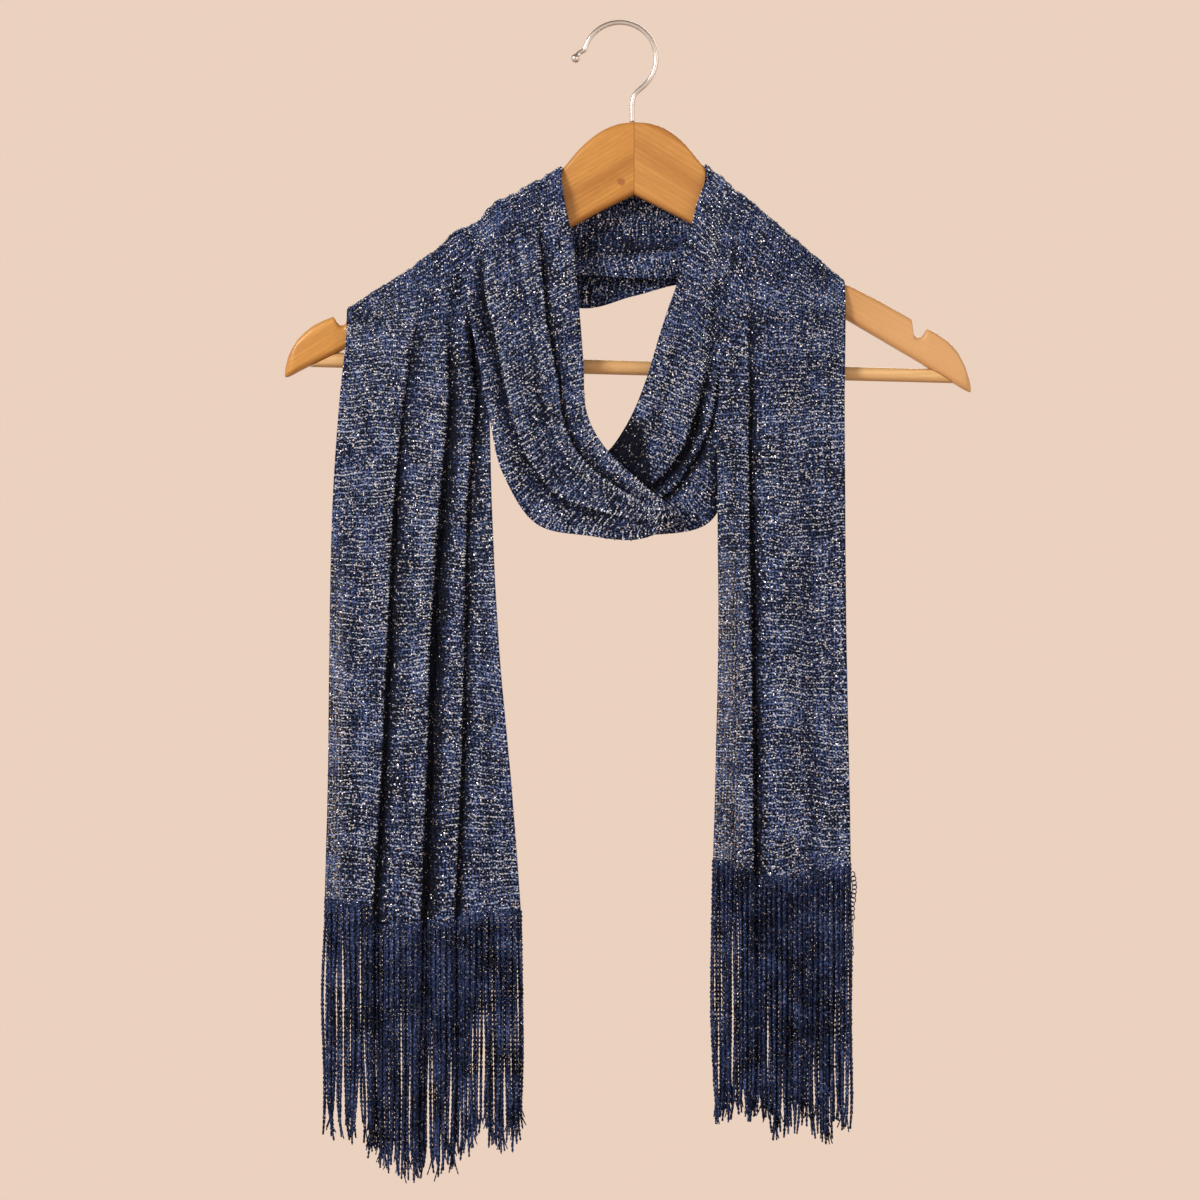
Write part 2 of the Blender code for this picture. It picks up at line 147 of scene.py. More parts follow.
def add_object(name, data):
    """A new object in the scene."""
    obj = bpy.data.objects.new(name, data)
    bpy.context.collection.objects.link(obj)
    return obj


# %% [markdown]
# ## Camera, studio and light
# The shawl was seen straight on from about two metres, with a long lens. An even pale glow
# surrounds it, so that every side can be viewed, and gives the soft light that fills the
# pleats. A round floor lies well below. One lamp from the upper left shapes the folds, and two
# weaker ones soften what it leaves dark.

# %% Camera
PIXEL = 445 / 686 * MM
PICTURE_SIZE = 1200
CAMERA_DISTANCE = 2.0
HOOK_PIXEL = (619, 25)
SENSOR_MM = 36.0

camera = add_object("camera", bpy.data.cameras.new("camera"))
camera.location = ((PICTURE_SIZE / 2 - HOOK_PIXEL[0]) * PIXEL, -CAMERA_DISTANCE,
                   (HOOK_PIXEL[1] - PICTURE_SIZE / 2) * PIXEL)
camera.rotation_euler = (math.pi / 2, 0, 0)
camera.data.sensor_width = SENSOR_MM
camera.data.lens = SENSOR_MM * CAMERA_DISTANCE / (PICTURE_SIZE * PIXEL)
bpy.context.scene.camera = camera
bpy.context.scene.view_settings.view_transform = "Standard"

# %% Surroundings, floor and lamps
WALL_LIGHT = (0.83, 0.64, 0.52, 1.0)
CEILING_LIGHT = (0.24, 0.20, 0.17, 1.0)
CEILING_STARTS, CEILING_FULL = 0.3, 0.85
FLOOR_COLOUR = (0.62, 0.50, 0.42, 1.0)
FLOOR_LEVEL = -1.15
FLOOR_RADIUS = 1.78
FLOOR_DEPTH, FLOOR_BEVEL = 0.02, 0.004
LAMP_COLOUR = (1.0, 0.97, 0.93)
LAMP_AIM = (0, 0, -0.35)
# Columns: lamp, place, size in metres, watts.
LAMPS = (("key", (-1.9, -2.0, 1.0), 0.8, 62), ("fill", (1.9, -1.9, 0.2), 1.6, 8),
         ("back", (0.6, 2.4, 1.2), 1.4, 16))


def make_surroundings():
    """An even pale glow at eye level that grows dimmer overhead."""
    world = bpy.data.worlds.new("studio")
    bpy.context.scene.world = world
    world.use_nodes = True
    tree = world.node_tree
    way = node(tree, "ShaderNodeTexCoord").outputs["Generated"]
    level = node(tree, "ShaderNodeSeparateXYZ", {0: way}).outputs[2]
    dim = ramp(tree, level, CEILING_STARTS, CEILING_FULL)
    feed(tree, tree.nodes["Background"], {0: blend_colours(tree, dim, WALL_LIGHT, CEILING_LIGHT)})


def make_floor():
    """A plain round floor with a soft edge."""
    bm = bmesh.new()
    bmesh.ops.create_cone(bm, cap_ends=True, segments=96, radius1=FLOOR_RADIUS,
                          radius2=FLOOR_RADIUS - FLOOR_BEVEL, depth=FLOOR_DEPTH)
    bmesh.ops.translate(bm, verts=bm.verts, vec=(0, 0, FLOOR_LEVEL - FLOOR_DEPTH / 2))
    mesh = bpy.data.meshes.new("floor")
    bm.to_mesh(mesh)
    bm.free()
    floor = add_object("floor", mesh)
    mat, _, _ = new_material("pale floor", base_color=FLOOR_COLOUR, roughness=0.9)
    mesh.materials.append(mat)


def add_lamp(name, place, size, watts):
    """A soft square lamp that looks at the shawl's upper half."""
    light = bpy.data.lights.new(name, "AREA")
    light.size = size
    light.energy = watts
    light.color = LAMP_COLOUR
    lamp = add_object(name, light)
    lamp.location = place
    toward = np.array(LAMP_AIM) - np.array(place)
    flat = math.hypot(toward[0], toward[1])
    lamp.rotation_euler = (math.atan2(flat, -toward[2]), 0, math.atan2(-toward[0], toward[1]))


make_surroundings()
make_floor()
for lamp_row in LAMPS:
    add_lamp(*lamp_row)

# %% [markdown]
# ## The cloth's path
# The band goes over and round the hanger in two wraps. Each wrap is a row of sections, and a
# section is only the two edges of the band with the share of the pleats' depth that shows
# there. A smooth curve runs through each edge. A pleat is a trough whose floor slides sideways
# under one of its banks, so the cloth laps over itself and draws a dark line, as a real pleat
# does. Written this way, a whole tail takes six rows.

# %% Sections of the two wraps, in millimetres
CLOSE_FOLD_OVER = ((-8.4, -7.5), (-6.5, -2.4), (0.0, 0.0), (6.5, -2.4), (8.4, -7.5))
WIDE_FOLD_OVER = ((-11.0, -9.0), (-7.0, -2.2), (0.0, 0.0), (8.5, -1.0), (13.0, -5.5),
                  (15.0, -12.0))


def over_wing(name, profile, ax, az, bx, bz):
    """Sections that carry the band over a wing whose top line runs from a to b."""
    return [(f"{name}{i}", ax, y, az + drop, bx, y, bz + drop, 0.0)
            for i, (y, drop) in enumerate(profile)]


# Columns: section, edge a (x, y, z), edge b (x, y, z), share of the pleats' depth.
UNDER_WRAP = [
    ("hem", -189, -22, -569, -63, -20, -569, 1.00),
    ("calf", -187, -22, -488, -69.5, -20, -488, 1.00),
    ("low", -186, -22, -405, -77, -20, -405, 0.95),
    ("mid", -184, -20, -309, -82, -18, -309, 0.85),
    ("chest", -180, -16, -244, -84, -16, -244, 0.65),
    ("under", -176, -11, -202, -87, -13, -186, 0.35),
    *over_wing("left", CLOSE_FOLD_OVER, -176, -184, -80, -119.7),
    ("nape left", -143, 9, -198, -74, 9, -134, 0.6),
    ("nape a", -91, 10, -189, -51, 10, -111, 1.0),
    ("nape b", -29, 10, -162, -25, 10, -94, 1.0),
    ("nape c", 10, 10, -163, 11, 10, -87, 1.0),
    ("nape d", 46, 10, -159, 40, 10, -92, 0.8),
    ("nape right", 72, 9.5, -142, 50, 9.5, -103, 0.4),
    *over_wing("right", CLOSE_FOLD_OVER[::-1], 83, -113, 56, -90),
    ("fall a", 82, -10.5, -155, 50, -12, -118, 0.25),
    ("fall b", 81, -12, -192, 40, -14, -160, 0.3),
    ("fall c", 77, -12, -231, 27, -16, -199, 0.45),
    ("fall d", 75, -12, -270, 16, -18, -235, 0.95),
    ("fall e", 70, -12, -302, 5, -18, -260, 1.15),
    ("turn a", 55, -14, -325, -7, -18, -277, 1.1),
    ("turn b", 20, -14, -331, -19, -16, -280, 0.5),
    ("turn c", -25, -14, -325, -28, -16, -260, 0.2),
    ("rise a", -59, -12, -296, -32, -14, -225, 0.2),
    ("rise b", -70, -12, -250, -35, -14, -186, 0.2),
    ("rise c", -75, -12, -199, -38, -12, -151, 0.2),
]

OVER_WRAP = [
    ("tuck", 41, -20, -325, 34, -34, -315, 0.3),
    ("turn a", 13, -24, -334.5, 20, -36, -304, 0.7),
    ("turn b", -19, -28, -332, 6, -32, -291, 1.0),
    ("turn c", -52, -28, -325, -10, -26, -274, 1.0),
    ("rise a", -74, -28, -293, -21, -22, -252, 1.0),
    ("rise b", -83, -28, -257, -23, -20, -220, 1.0),
    ("rise c", -90, -25, -219, -26, -18, -180, 1.0),
    ("rise d", -98, -20, -174, -30, -14, -141, 0.9),
    *over_wing("left", WIDE_FOLD_OVER, -93, -123, -37, -91.8),
    ("nape a", -61, 17, -170, -29, 17, -105, 0.6),
    ("nape b", -25, 19, -182, -11, 19, -89, 1.0),
    ("nape c", 10, 19, -174, 14, 19, -85, 1.0),
    ("nape d", 47, 19, -166, 47, 19, -90, 1.0),
    ("nape e", 92, 16, -177, 71, 17, -105, 0.8),
    ("nape right", 131, 12, -181, 80, 14, -116, 0.3),
    *over_wing("right", CLOSE_FOLD_OVER[::-1], 146, -166, 81.5, -110.8),
    ("under", 146, -12, -199, 70, -21, -178, 0.35),
    ("chest", 145, -18, -244, 64, -22, -245, 0.7),
    ("mid", 145, -23, -309, 63, -24, -309, 0.9),
    ("low", 145.5, -24, -386, 63.5, -25, -386, 1.0),
    ("calf", 147.5, -24, -488, 61.5, -25, -488, 1.0),
    ("hem", 148.5, -24, -545, 60, -25, -545, 1.0),
]

# %% Pleats
# Columns: depth (a ridge if negative), flank towards edge a, flank towards edge b, how far the
# pleat's floor slides towards edge b, and its path: section and share of the way from a to b.
LEFT_TAIL_PLEATS = (
    (6.0, 2.8, 6.0, -4.0, (("hem", 0.275), ("low", 0.375), ("mid", 0.42), ("chest", 0.46),
                            ("under", 0.53), ("left4", 0.52))),
    (8.0, 4.0, 5.5, -4.4, (("hem", 0.53), ("low", 0.64), ("chest", 0.78), ("left4", 0.78))),
    (5.0, 2.8, 4.5, -3.2, (("hem", 0.69), ("low", 0.825), ("mid", 0.88), ("chest", 0.94),
                            ("left4", 0.96))),
    (1.6, 4.0, 5.0, 0.0, (("hem", 0.13), ("mid", 0.16), ("chest", 0.22), ("left4", 0.25))),
    (1.4, 4.0, 4.0, 0.0, (("hem", 0.40), ("mid", 0.52), ("chest", 0.60), ("left4", 0.64))),
    (1.8, 3.5, 4.5, 0.0, (("hem", 0.84), ("low", 0.92), ("mid", 0.95), ("left4", 0.96))),
)
NAPE_NEAR_PLEATS = (
    (3.0, 4.0, 7.0, -3.0, (("left4", 0.40), ("nape b", 0.22), ("right0", 0.40))),
    (2.2, 5.0, 5.0, 0.0, (("left4", 0.70), ("nape b", 0.55), ("right0", 0.70))),
    (1.0, 3.5, 3.5, 0.0, (("left4", 0.20), ("nape b", 0.38), ("right0", 0.20))),
)
LOOP_UNDER_PLEATS = (
    (4.6, 2.4, 3.2, 2.6, (("fall c", 0.18), ("fall d", 0.22), ("fall e", 0.32), ("turn a", 0.36),
                          ("turn c", 0.30))),
    (6.0, 2.8, 4.8, 3.4, (("right0", 0.50), ("fall b", 0.42), ("fall c", 0.32), ("fall d", 0.36),
                          ("fall e", 0.42), ("turn a", 0.48), ("rise c", 0.60))),
    (1.2, 4.0, 4.0, 0.0, (("right0", 0.80), ("fall c", 0.78), ("turn a", 0.74), ("rise c", 0.8))),
)
LOOP_OVER_PLEATS = (
    (3.8, 4.2, 2.6, 2.8, (("tuck", 0.30), ("turn c", 0.30), ("rise b", 0.17), ("rise d", 0.12),
                          ("left5", 0.10))),
    (2.6, 5.0, 4.0, 2.0, (("tuck", 0.55), ("turn c", 0.60), ("rise b", 0.52), ("left5", 0.40))),
    (4.6, 2.8, 4.4, -3.2, (("tuck", 0.80), ("turn c", 0.82), ("rise b", 0.78), ("rise c", 0.72),
                           ("rise d", 0.75), ("left5", 0.71))),
    (1.3, 3.5, 3.5, 0.0, (("tuck", 0.15), ("turn c", 0.16), ("rise b", 0.12), ("left5", 0.06))),
    (1.2, 3.0, 3.0, 0.0, (("tuck", 0.44), ("turn c", 0.46), ("rise b", 0.40), ("left5", 0.27))),
    (1.4, 3.0, 3.0, 0.0, (("tuck", 0.68), ("turn c", 0.70), ("rise b", 0.65), ("left5", 0.52))),
)
NAPE_FAR_PLEATS = (
    (3.0, 5.0, 7.0, 2.5, (("left5", 0.30), ("nape c", 0.24), ("right0", 0.30))),
    (2.2, 5.0, 5.0, 0.0, (("left5", 0.62), ("nape c", 0.62), ("right0", 0.72))),
)
RIGHT_TAIL_PLEATS = (
    (2.2, 7.0, 7.0, 0.0, (("right0", 0.26), ("mid", 0.27), ("hem", 0.28))),
    (-2.4, 7.0, 7.0, 0.0, (("right0", 0.50), ("mid", 0.50), ("hem", 0.49))),
    (6.0, 4.2, 3.0, 4.0, (("right0", 0.80), ("under", 0.77), ("chest", 0.71), ("low", 0.69),
                          ("hem", 0.655))),
    (1.2, 3.5, 3.5, 0.0, (("right0", 0.12), ("mid", 0.12), ("hem", 0.11))),
    (1.4, 3.0, 3.0, 0.0, (("right0", 0.90), ("mid", 0.86), ("hem", 0.84))),
)

# %% Hems and fringe tips: share of the way from edge a to edge b, and height
LEFT_HEM = ((0.0, -565), (0.11, -568), (0.235, -568), (0.295, -583), (0.49, -583), (0.55, -579),
            (0.60, -583), (0.67, -583), (0.73, -574), (1.0, -574))
LEFT_TIPS = ((0.0, -716), (0.19, -721), (0.29, -738), (0.44, -745), (0.66, -740), (0.78, -720),
             (0.93, -728), (1.0, -722))
RIGHT_HEM = ((0.0, -543), (0.54, -552), (0.65, -552), (0.72, -546), (0.84, -546), (0.90, -541),
             (1.0, -541))
RIGHT_TIPS = ((0.0, -712), (0.18, -719), (0.34, -714), (0.55, -716), (0.68, -707), (0.78, -701),
              (0.88, -706), (1.0, -710))
HEM_FADE = 60.0


# %% The surface through the sections
FULL_SHADOW_DEPTH = 5.0
SHADOW_POWER = 1.6
TAIL_ARCH_CALM = 0.45
# Ripples: height in millimetres and how quickly they follow each other across the band.
PLEAT_RIPPLES = ((0.45, 0.21), (0.30, 0.43))
ARCH_RIPPLES = ((0.55, 0.33), (0.40, 0.71))
# Where the left tail lies in the loop's shadow: share of the way across, and its soft edge.
TAIL_SHADOW, TAIL_SHADOW_EDGE = 0.85, 0.05
# The shadow past the brim of the cowl: share of the way across at two sections, and soft edge.
BRIM, BRIM_EDGE = (0.82, 0.50), 0.07
# The loop's shadow beside the right tail: x in millimetres, and its soft edge.
SIDE_SHADOW_X, SIDE_SHADOW_EDGE = 57, 6
# Humps and hollows over the wings: share of the way across, half width and height.
ARCH_HUMPS = {"tail_left": ((0.37, 0.12, -0.9), (0.74, 0.07, 3.2)),
              "loop_over": ((0.0, 0.09, -4.5), (0.24, 0.06, 1.2))}


def smooth_through(knots, values, at):
    """A smooth curve through values at uneven knots, with no overshoot at the short spans."""
    spans = np.diff(knots)[:, None]
    slopes = np.diff(values, axis=0) / spans
    inner = (slopes[:-1] * spans[1:] + slopes[1:] * spans[:-1]) / (spans[1:] + spans[:-1])
    tangents = np.vstack([slopes[:1], inner, slopes[-1:]])
    i = np.clip(np.searchsorted(knots, at, side="right") - 1, 0, len(spans) - 1)
    h = spans[i]
    t = ((at - knots[i]) / h[:, 0])[:, None]
    return (values[i] * (1 + 2 * t) * (1 - t) ** 2 + values[i + 1] * t ** 2 * (3 - 2 * t)
            + tangents[i] * h * t * (1 - t) ** 2 + tangents[i + 1] * h * t ** 2 * (t - 1))


def along_table(table, at):
    """Heights along a hem or a row of tips, by share of the way across."""
    return np.interp(at, [row[0] for row in table], [row[1] for row in table])


def unit(vectors):
    """Vectors of length one."""
    return vectors / np.linalg.norm(vectors, axis=1)[:, None]


class Wrap:
    """One half of the shawl: a band through a list of sections."""

    def __init__(self, sections, pleats_by_piece, hem):
        self.names = [row[0] for row in sections]
        self.a = np.array([row[1:4] for row in sections], float)
        self.b = np.array([row[4:7] for row in sections], float)
        self.play = np.array([[row[7]] for row in sections], float)
        steps = np.linalg.norm(np.diff((self.a + self.b) / 2, axis=0), axis=1)
        self.knots = np.concatenate([[0.0], np.cumsum(steps)])
        self.pleats_by_piece = pleats_by_piece
        self.hem = hem
        self.hem_z = self.a[self.names.index("hem"), 2]

    def at(self, name):
        """How far along the wrap a named section lies."""
        return self.knots[self.names.index(name)]

    def band(self, s, u):
        """The unpleated band."""
        share = s[:, None]
        return (smooth_through(self.knots, self.a, u) * (1 - share)
                + smooth_through(self.knots, self.b, u) * share)

    def across(self, u):
        """From edge a to edge b at each place along the wrap, and how far apart they are."""
        span = self.band(np.ones_like(u), u) - self.band(np.zeros_like(u), u)
        return span, np.linalg.norm(span, axis=1)

    def pleats(self, piece, s, u, width):
        """How much the pleats show, how high the cloth is lifted, and how far it slides."""
        play = smooth_through(self.knots, self.play, u)[:, 0]
        lift, slide = np.zeros_like(s), np.zeros_like(s)
        for depth, flank_a, flank_b, lap, path in self.pleats_by_piece[piece]:
            centre = np.interp(u, [self.at(name) for name, _ in path], [at for _, at in path])
            off = (s - centre) * width
            trough = np.exp(-(off / np.where(off < 0, flank_a, flank_b)) ** 2)
            lift -= depth * trough
            slide += lap * trough
        return play, lift, slide

    def shadow(self, piece, s, u):
        """Painted shade, from 0 on the ridges to 1 deep in the pleats and beside the crossings."""
        play, lift, _ = self.pleats(piece, s, u, self.across(u)[1])
        deep = np.clip(-lift * play / FULL_SHADOW_DEPTH, 0, 1) ** SHADOW_POWER
        if piece == "tail_left":
            under_loop = np.clip((self.at("left0") - u) / 8, 0, 1) * np.clip(
                (u - self.at("chest")) / 30, 0, 1)
            inner = np.clip((s - TAIL_SHADOW) / TAIL_SHADOW_EDGE, 0, 1)
            deep = np.maximum(deep, under_loop * inner)
        if piece == "loop_under":
            low = np.clip((u - self.at("fall d")) / 25, 0, 1)
            last = np.clip((u - self.at("fall e") + 12) / 12, 0, 1)
            brim = np.interp(u, [self.at("fall e"), self.at("turn a")], BRIM)
            deep = np.maximum(deep, 1.1 * last * np.clip((s - brim) / BRIM_EDGE, 0, 1))
            beside = np.clip((self.band(s, u)[:, 0] - SIDE_SHADOW_X) / SIDE_SHADOW_EDGE, 0, 1)
            deep = np.clip(np.maximum(deep, low * beside), 0, 1)
        return deep

    def points(self, piece, s, u):
        """Points of the cloth's outer face, s across from edge a to edge b, u along the wrap."""
        flat = self.band(s, u)
        across, width = self.across(u)
        facing = unit(np.cross(across, self.band(s, u + 0.5) - self.band(s, u - 0.5)))
        play, lift, slide = self.pleats(piece, s, u, width)
        edge = np.clip(np.minimum(s, 1 - s) * 12, 0, 1)
        (broad, broad_pace), (fine, fine_pace) = PLEAT_RIPPLES
        ripple = (broad * np.sin(s * width * broad_pace + u * 0.052 + 1.3 * np.sin(u * 0.031))
                  + fine * np.sin(s * width * fine_pace - u * 0.083)) * play
        (broad, broad_pace), (fine, fine_pace) = ARCH_RIPPLES
        calm = TAIL_ARCH_CALM if piece.startswith("tail") else 1.0
        ripple += calm * (1 - play) * (broad * np.sin(s * width * broad_pace + 1.1) ** 3
                                       + fine * np.sin(s * width * fine_pace + 0.12 * u))
        for centre, half, height in ARCH_HUMPS.get(piece, ()):
            ripple += (1 - play) * height * np.exp(-((s - centre) / half) ** 2)
        found = flat + unit(across) * (slide * play * edge)[:, None] \
            + facing * ((lift * play) + ripple)[:, None]
        fade = np.clip((found[:, 2] - self.hem_z) / HEM_FADE, 0, 1)
        found[:, 2] += (along_table(self.hem, s) - self.hem_z) * (1 - fade) ** 2
        return found

    def frame_at(self, piece, s, u):
        """Points with the cloth's direction across and its outward direction."""
        ds, du = 0.004, 0.4
        side = unit(self.points(piece, s + ds, u) - self.points(piece, s - ds, u))
        forward = self.points(piece, s, u + du) - self.points(piece, s, u - du)
        return self.points(piece, s, u), side, unit(np.cross(side, forward))


UNDER = Wrap(UNDER_WRAP, {"tail_left": LEFT_TAIL_PLEATS, "band_near": NAPE_NEAR_PLEATS,
                          "loop_under": LOOP_UNDER_PLEATS}, LEFT_HEM)
OVER = Wrap(OVER_WRAP, {"loop_over": LOOP_OVER_PLEATS, "band_far": NAPE_FAR_PLEATS,
                        "tail_right": RIGHT_TAIL_PLEATS}, RIGHT_HEM)

# Columns: wrap, node, first section, last section, pillars across, and the see-through
# stretch: share of the way across where the cloth is thin, from and to.
STRETCHES = (
    (UNDER, "tail_left", "hem", "left4", 60, (0.00, 0.07)),
    (UNDER, "band_near", "left4", "right0", 36, None),
    (UNDER, "loop_under", "right0", "rise c", 34, None),
    (OVER, "loop_over", "tuck", "left5", 36, None),
    (OVER, "band_far", "left5", "right0", 36, None),
    (OVER, "tail_right", "right0", "hem", 42, (0.82, 0.99)),
)
ROW_PITCH = 3.9
PILLAR_PITCH = 2.1
FIRST_ROW = 0.3
SEAM_GAP = 0.2
print("wraps in millimetres:", round(UNDER.knots[-1]), round(OVER.knots[-1]))

# %% [markdown]
# ## Yarn colours that more than one material shares
# The pillars, the fringe and the loose loops are the same navy yarn with a film of metal wound
# in. A shader group gives that yarn: its colour changes a little from place to place, and small
# glints of film show at random. Each material places the group with its own sizes.

# %% Yarn group
NAVY_DARK = (0.0014, 0.0019, 0.0050, 1.0)
NAVY_MID = (0.0185, 0.0345, 0.110, 1.0)
NAVY_LIGHT = (0.180, 0.265, 0.560, 1.0)
SILVER = (0.80, 0.78, 0.82, 1.0)
YARN_ROUGHNESS, GLINT_SHINE = 0.62, 0.34


def make_yarn_group():
    """Colour and glint mask of navy yarn with metal film."""
    group, given, out = new_group(
        "ShaderNodeTree", "navy yarn",
        (("Vector", "Vector", None), ("Shade", "Float", 0.5), ("Glint Size", "Float", 900.0),
         ("Glint Share", "Float", 0.2)),
        (("Colour", "Color"), ("Glint", "Float"), ("Roughness", "Float")))
    patches = noise(group, given["Vector"], 70.0, 0.0)["Fac"]
    fuzz = noise(group, given["Vector"], 650.0, 1.0)["Fac"]
    shade = given["Shade"]
    for texture, share in ((patches, 0.6), (fuzz, 1.5)):
        change = times(group, calc(group, "SUBTRACT", texture, 0.5), share)
        shade = calc(group, "ADD", shade, change)
    colour = blend_colours(group, ramp(group, shade, 0.10, 0.60), NAVY_DARK, NAVY_MID)
    colour = blend_colours(group, ramp(group, shade, 0.52, 1.15), colour, NAVY_LIGHT)
    cells = node(group, "ShaderNodeTexVoronoi",
                 {"Vector": given["Vector"], "Scale": given["Glint Size"]}).outputs
    spot = node(group, "ShaderNodeSeparateColor", {"Color": cells["Color"]}).outputs[0]
    glint = times(group, calc(group, "LESS_THAN", spot, given["Glint Share"]),
                  ramp(group, cells["Distance"], 0.55, 0.35))
    roughness = calc(group, "SUBTRACT", YARN_ROUGHNESS, times(group, glint, GLINT_SHINE))
    feed(group, out, {"Colour": blend_colours(group, glint, colour, SILVER), "Glint": glint,
                      "Roughness": roughness})
    return group


YARN = make_yarn_group()


def add_yarn(tree, shade, glint_size, glint_share):
    """The outputs of the yarn group in a material."""
    return node(tree, "ShaderNodeGroup",
                {"Vector": own_place(tree), "Shade": shade, "Glint Size": glint_size,
                 "Glint Share": glint_share}, node_tree=YARN).outputs


# %% [markdown]
# ## The knit material
# The cloth's own face carries the pillars and the rows in its UV map: one unit across is one
# pillar, and one unit along is one row of inlay. The pillars stand up as rounded chains, the
# inlay crosses between them, and what is left between both is a hole, painted near-black as
# shade. Where the cloth is one thin layer at an edge, the holes let the wall behind shine
# through. Painted shade also darkens the cloth deep in its pleats and beside the crossings.

# %% Knit material
KNIT_BUMP_MM = 0.5
KNIT_GLINTS = (900.0, 0.12)
KNIT_SHADOW = (0.002, 0.003, 0.008, 1.0)


def wave(tree, value, cycles):
    """A wave from 0 to 1, so many cycles to one unit."""
    swing = calc(tree, "COSINE", times(tree, value, 2 * math.pi * cycles))
    return calc(tree, "ADD", times(tree, swing, 0.5), 0.5)


def make_knit_material(name, see_through):
    """Openwork warp knit on the cloth's own stitch coordinates."""
    mat, tree, bsdf = new_material(name, specular_ior_level=0.10)
    stitch = node(tree, "ShaderNodeUVMap", uv_map="stitch").outputs[0]
    wobble = noise(tree, stitch, 0.9, 0.0)["Color"]
    shift = node(tree, "ShaderNodeVectorMath", {0: wobble, 1: (0.5, 0.5, 0.5)},
                 operation="SUBTRACT").outputs[0]
    moved = node(tree, "ShaderNodeVectorMath", {0: shift, 1: (0.8, 0.8, 0.0), 2: stitch},
                 operation="MULTIPLY_ADD").outputs[0]
    across, along, _ = node(tree, "ShaderNodeSeparateXYZ", {0: moved}).outputs
    loops = calc(tree, "ADD", times(tree, wave(tree, along, 2.0), 0.7), 0.3)
    chain = times(tree, wave(tree, across, 1.0), loops)
    rung = times(tree, calc(tree, "POWER", wave(tree, along, 1.0), 3.0), 0.7)
    height = calc(tree, "MAXIMUM", chain, rung)
    # Painted shade stored on the mesh darkens the yarn in the pleats and beside the crossings.
    deep = stored(tree, "shadow")
    lit = calc(tree, "SUBTRACT", 1.0, times(tree, deep, 0.75))
    # Where the stitch height is low, in the holes, the yarn turns near-black: painted shade.
    yarn = add_yarn(tree, times(tree, height, lit), *KNIT_GLINTS)
    colour = blend_colours(tree, times(tree, deep, 0.7), yarn["Colour"], KNIT_SHADOW)
    feed(tree, bsdf, {"Base Color": colour, "Metallic": times(tree, yarn["Glint"], 0.7),
                      "Roughness": yarn["Roughness"]})
    if see_through:
        hole = times(tree, ramp(tree, height, 0.12, 0.06), stored(tree, "thin"))
        feed(tree, bsdf, {"Alpha": calc(tree, "SUBTRACT", 1.0, hole)})
    add_bump(tree, bsdf, height, 1.0, KNIT_BUMP_MM * MM)
    return mat


KNIT = make_knit_material("navy openwork knit", False)
THIN_KNIT = make_knit_material("navy openwork knit, thin", True)

# %% [markdown]
# ## The cloth
# Each stretch of the band is a fine grid on the surface above, with the stitch coordinates as
# its UV map, and a Solidify modifier gives it the knit's thickness. The grid is about a
# millimetre and a half wide, which is fine enough for the laps of the pleats.

# %% Cloth sheets
CLOTH_THICKNESS = 0.45
GRID_ACROSS = 1.5
GRID_ALONG = 2.3
THIN_FROM, THIN_FADE, THIN_MOST = -300.0, 80.0, 0.65
THIN_EDGE = 0.03
ROW_SAG = 1.5


def row_shift(s, u):
    """How far the rows wander along the band."""
    return ROW_SAG * np.sin(s * 8.0 + 0.016 * u) + 0.4 * ROW_SAG * np.sin(s * 21.0 - 0.03 * u)


def grid_object(name, points, uvs, thin, shadow):
    """A mesh grid with its stitch map, its thinness and its painted shade."""
    rows, columns = points.shape[:2]
    mesh = bpy.data.meshes.new(name)
    index = np.arange(rows * columns).reshape(rows, columns)
    quads = np.stack([index[:-1, :-1], index[:-1, 1:], index[1:, 1:], index[1:, :-1]], axis=-1)
    quads = quads.reshape(-1, 4)
    mesh.from_pydata((points.reshape(-1, 3) * MM).tolist(), [], quads.tolist())
    layer = mesh.uv_layers.new(name="stitch")
    layer.data.foreach_set("uv", uvs.reshape(-1, 2)[quads.ravel()].astype(np.float32).ravel())
    for label, values in (("thin", thin), ("shadow", shadow)):
        attribute = mesh.attributes.new(label, "FLOAT", "POINT")
        attribute.data.foreach_set("value", values.ravel().astype(np.float32))
    mesh.shade_smooth()
    return add_object(name, mesh)


def stretch_span(wrap, first, last):
    """Where a stretch starts and ends along its wrap, clear of its neighbours."""
    start, end = wrap.at(first), wrap.at(last)
    return (start + (0 if first in ("hem", "tuck") else SEAM_GAP / 2),
            end - (0 if last in ("hem", "rise c") else SEAM_GAP / 2))


def make_cloth(wrap, name, first, last, pillars, thin_span):
    """One stretch of the shawl as a thin sheet."""
    start, end = stretch_span(wrap, first, last)
    _, widths = wrap.across(np.linspace(start, end, 9))
    columns = int(widths.max() / GRID_ACROSS) + 1
    rows = int((end - start) / GRID_ALONG) + 1
    s, u = np.meshgrid(np.linspace(0, 1, columns), np.linspace(start, end, rows))
    points = wrap.points(name, s.ravel(), u.ravel()).reshape(rows, columns, 3)
    uvs = np.stack([s * pillars, (u - row_shift(s, u) - start) / ROW_PITCH - FIRST_ROW], axis=-1)
    thin = np.zeros_like(s)
    if thin_span:
        low, high = thin_span
        thin = (np.clip((s - low + THIN_EDGE) / THIN_EDGE, 0, 1)
                * np.clip((high + THIN_EDGE - s) / THIN_EDGE, 0, 1))
        thin *= THIN_MOST * np.clip((THIN_FROM - points[:, :, 2]) / THIN_FADE, 0, 1)
    shadow = wrap.shadow(name, s.ravel(), u.ravel()).reshape(rows, columns)
    cloth = grid_object(f"cloth_{name}", points, uvs, thin, shadow)
    cloth.data.materials.append(THIN_KNIT if thin_span else KNIT)
    wall = cloth.modifiers.new("knit thickness", "SOLIDIFY")
    wall.thickness = CLOTH_THICKNESS * MM
    wall.offset = -1.0
    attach(cloth, "root")
    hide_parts(name)


for stretch in STRETCHES:
    make_cloth(*stretch)

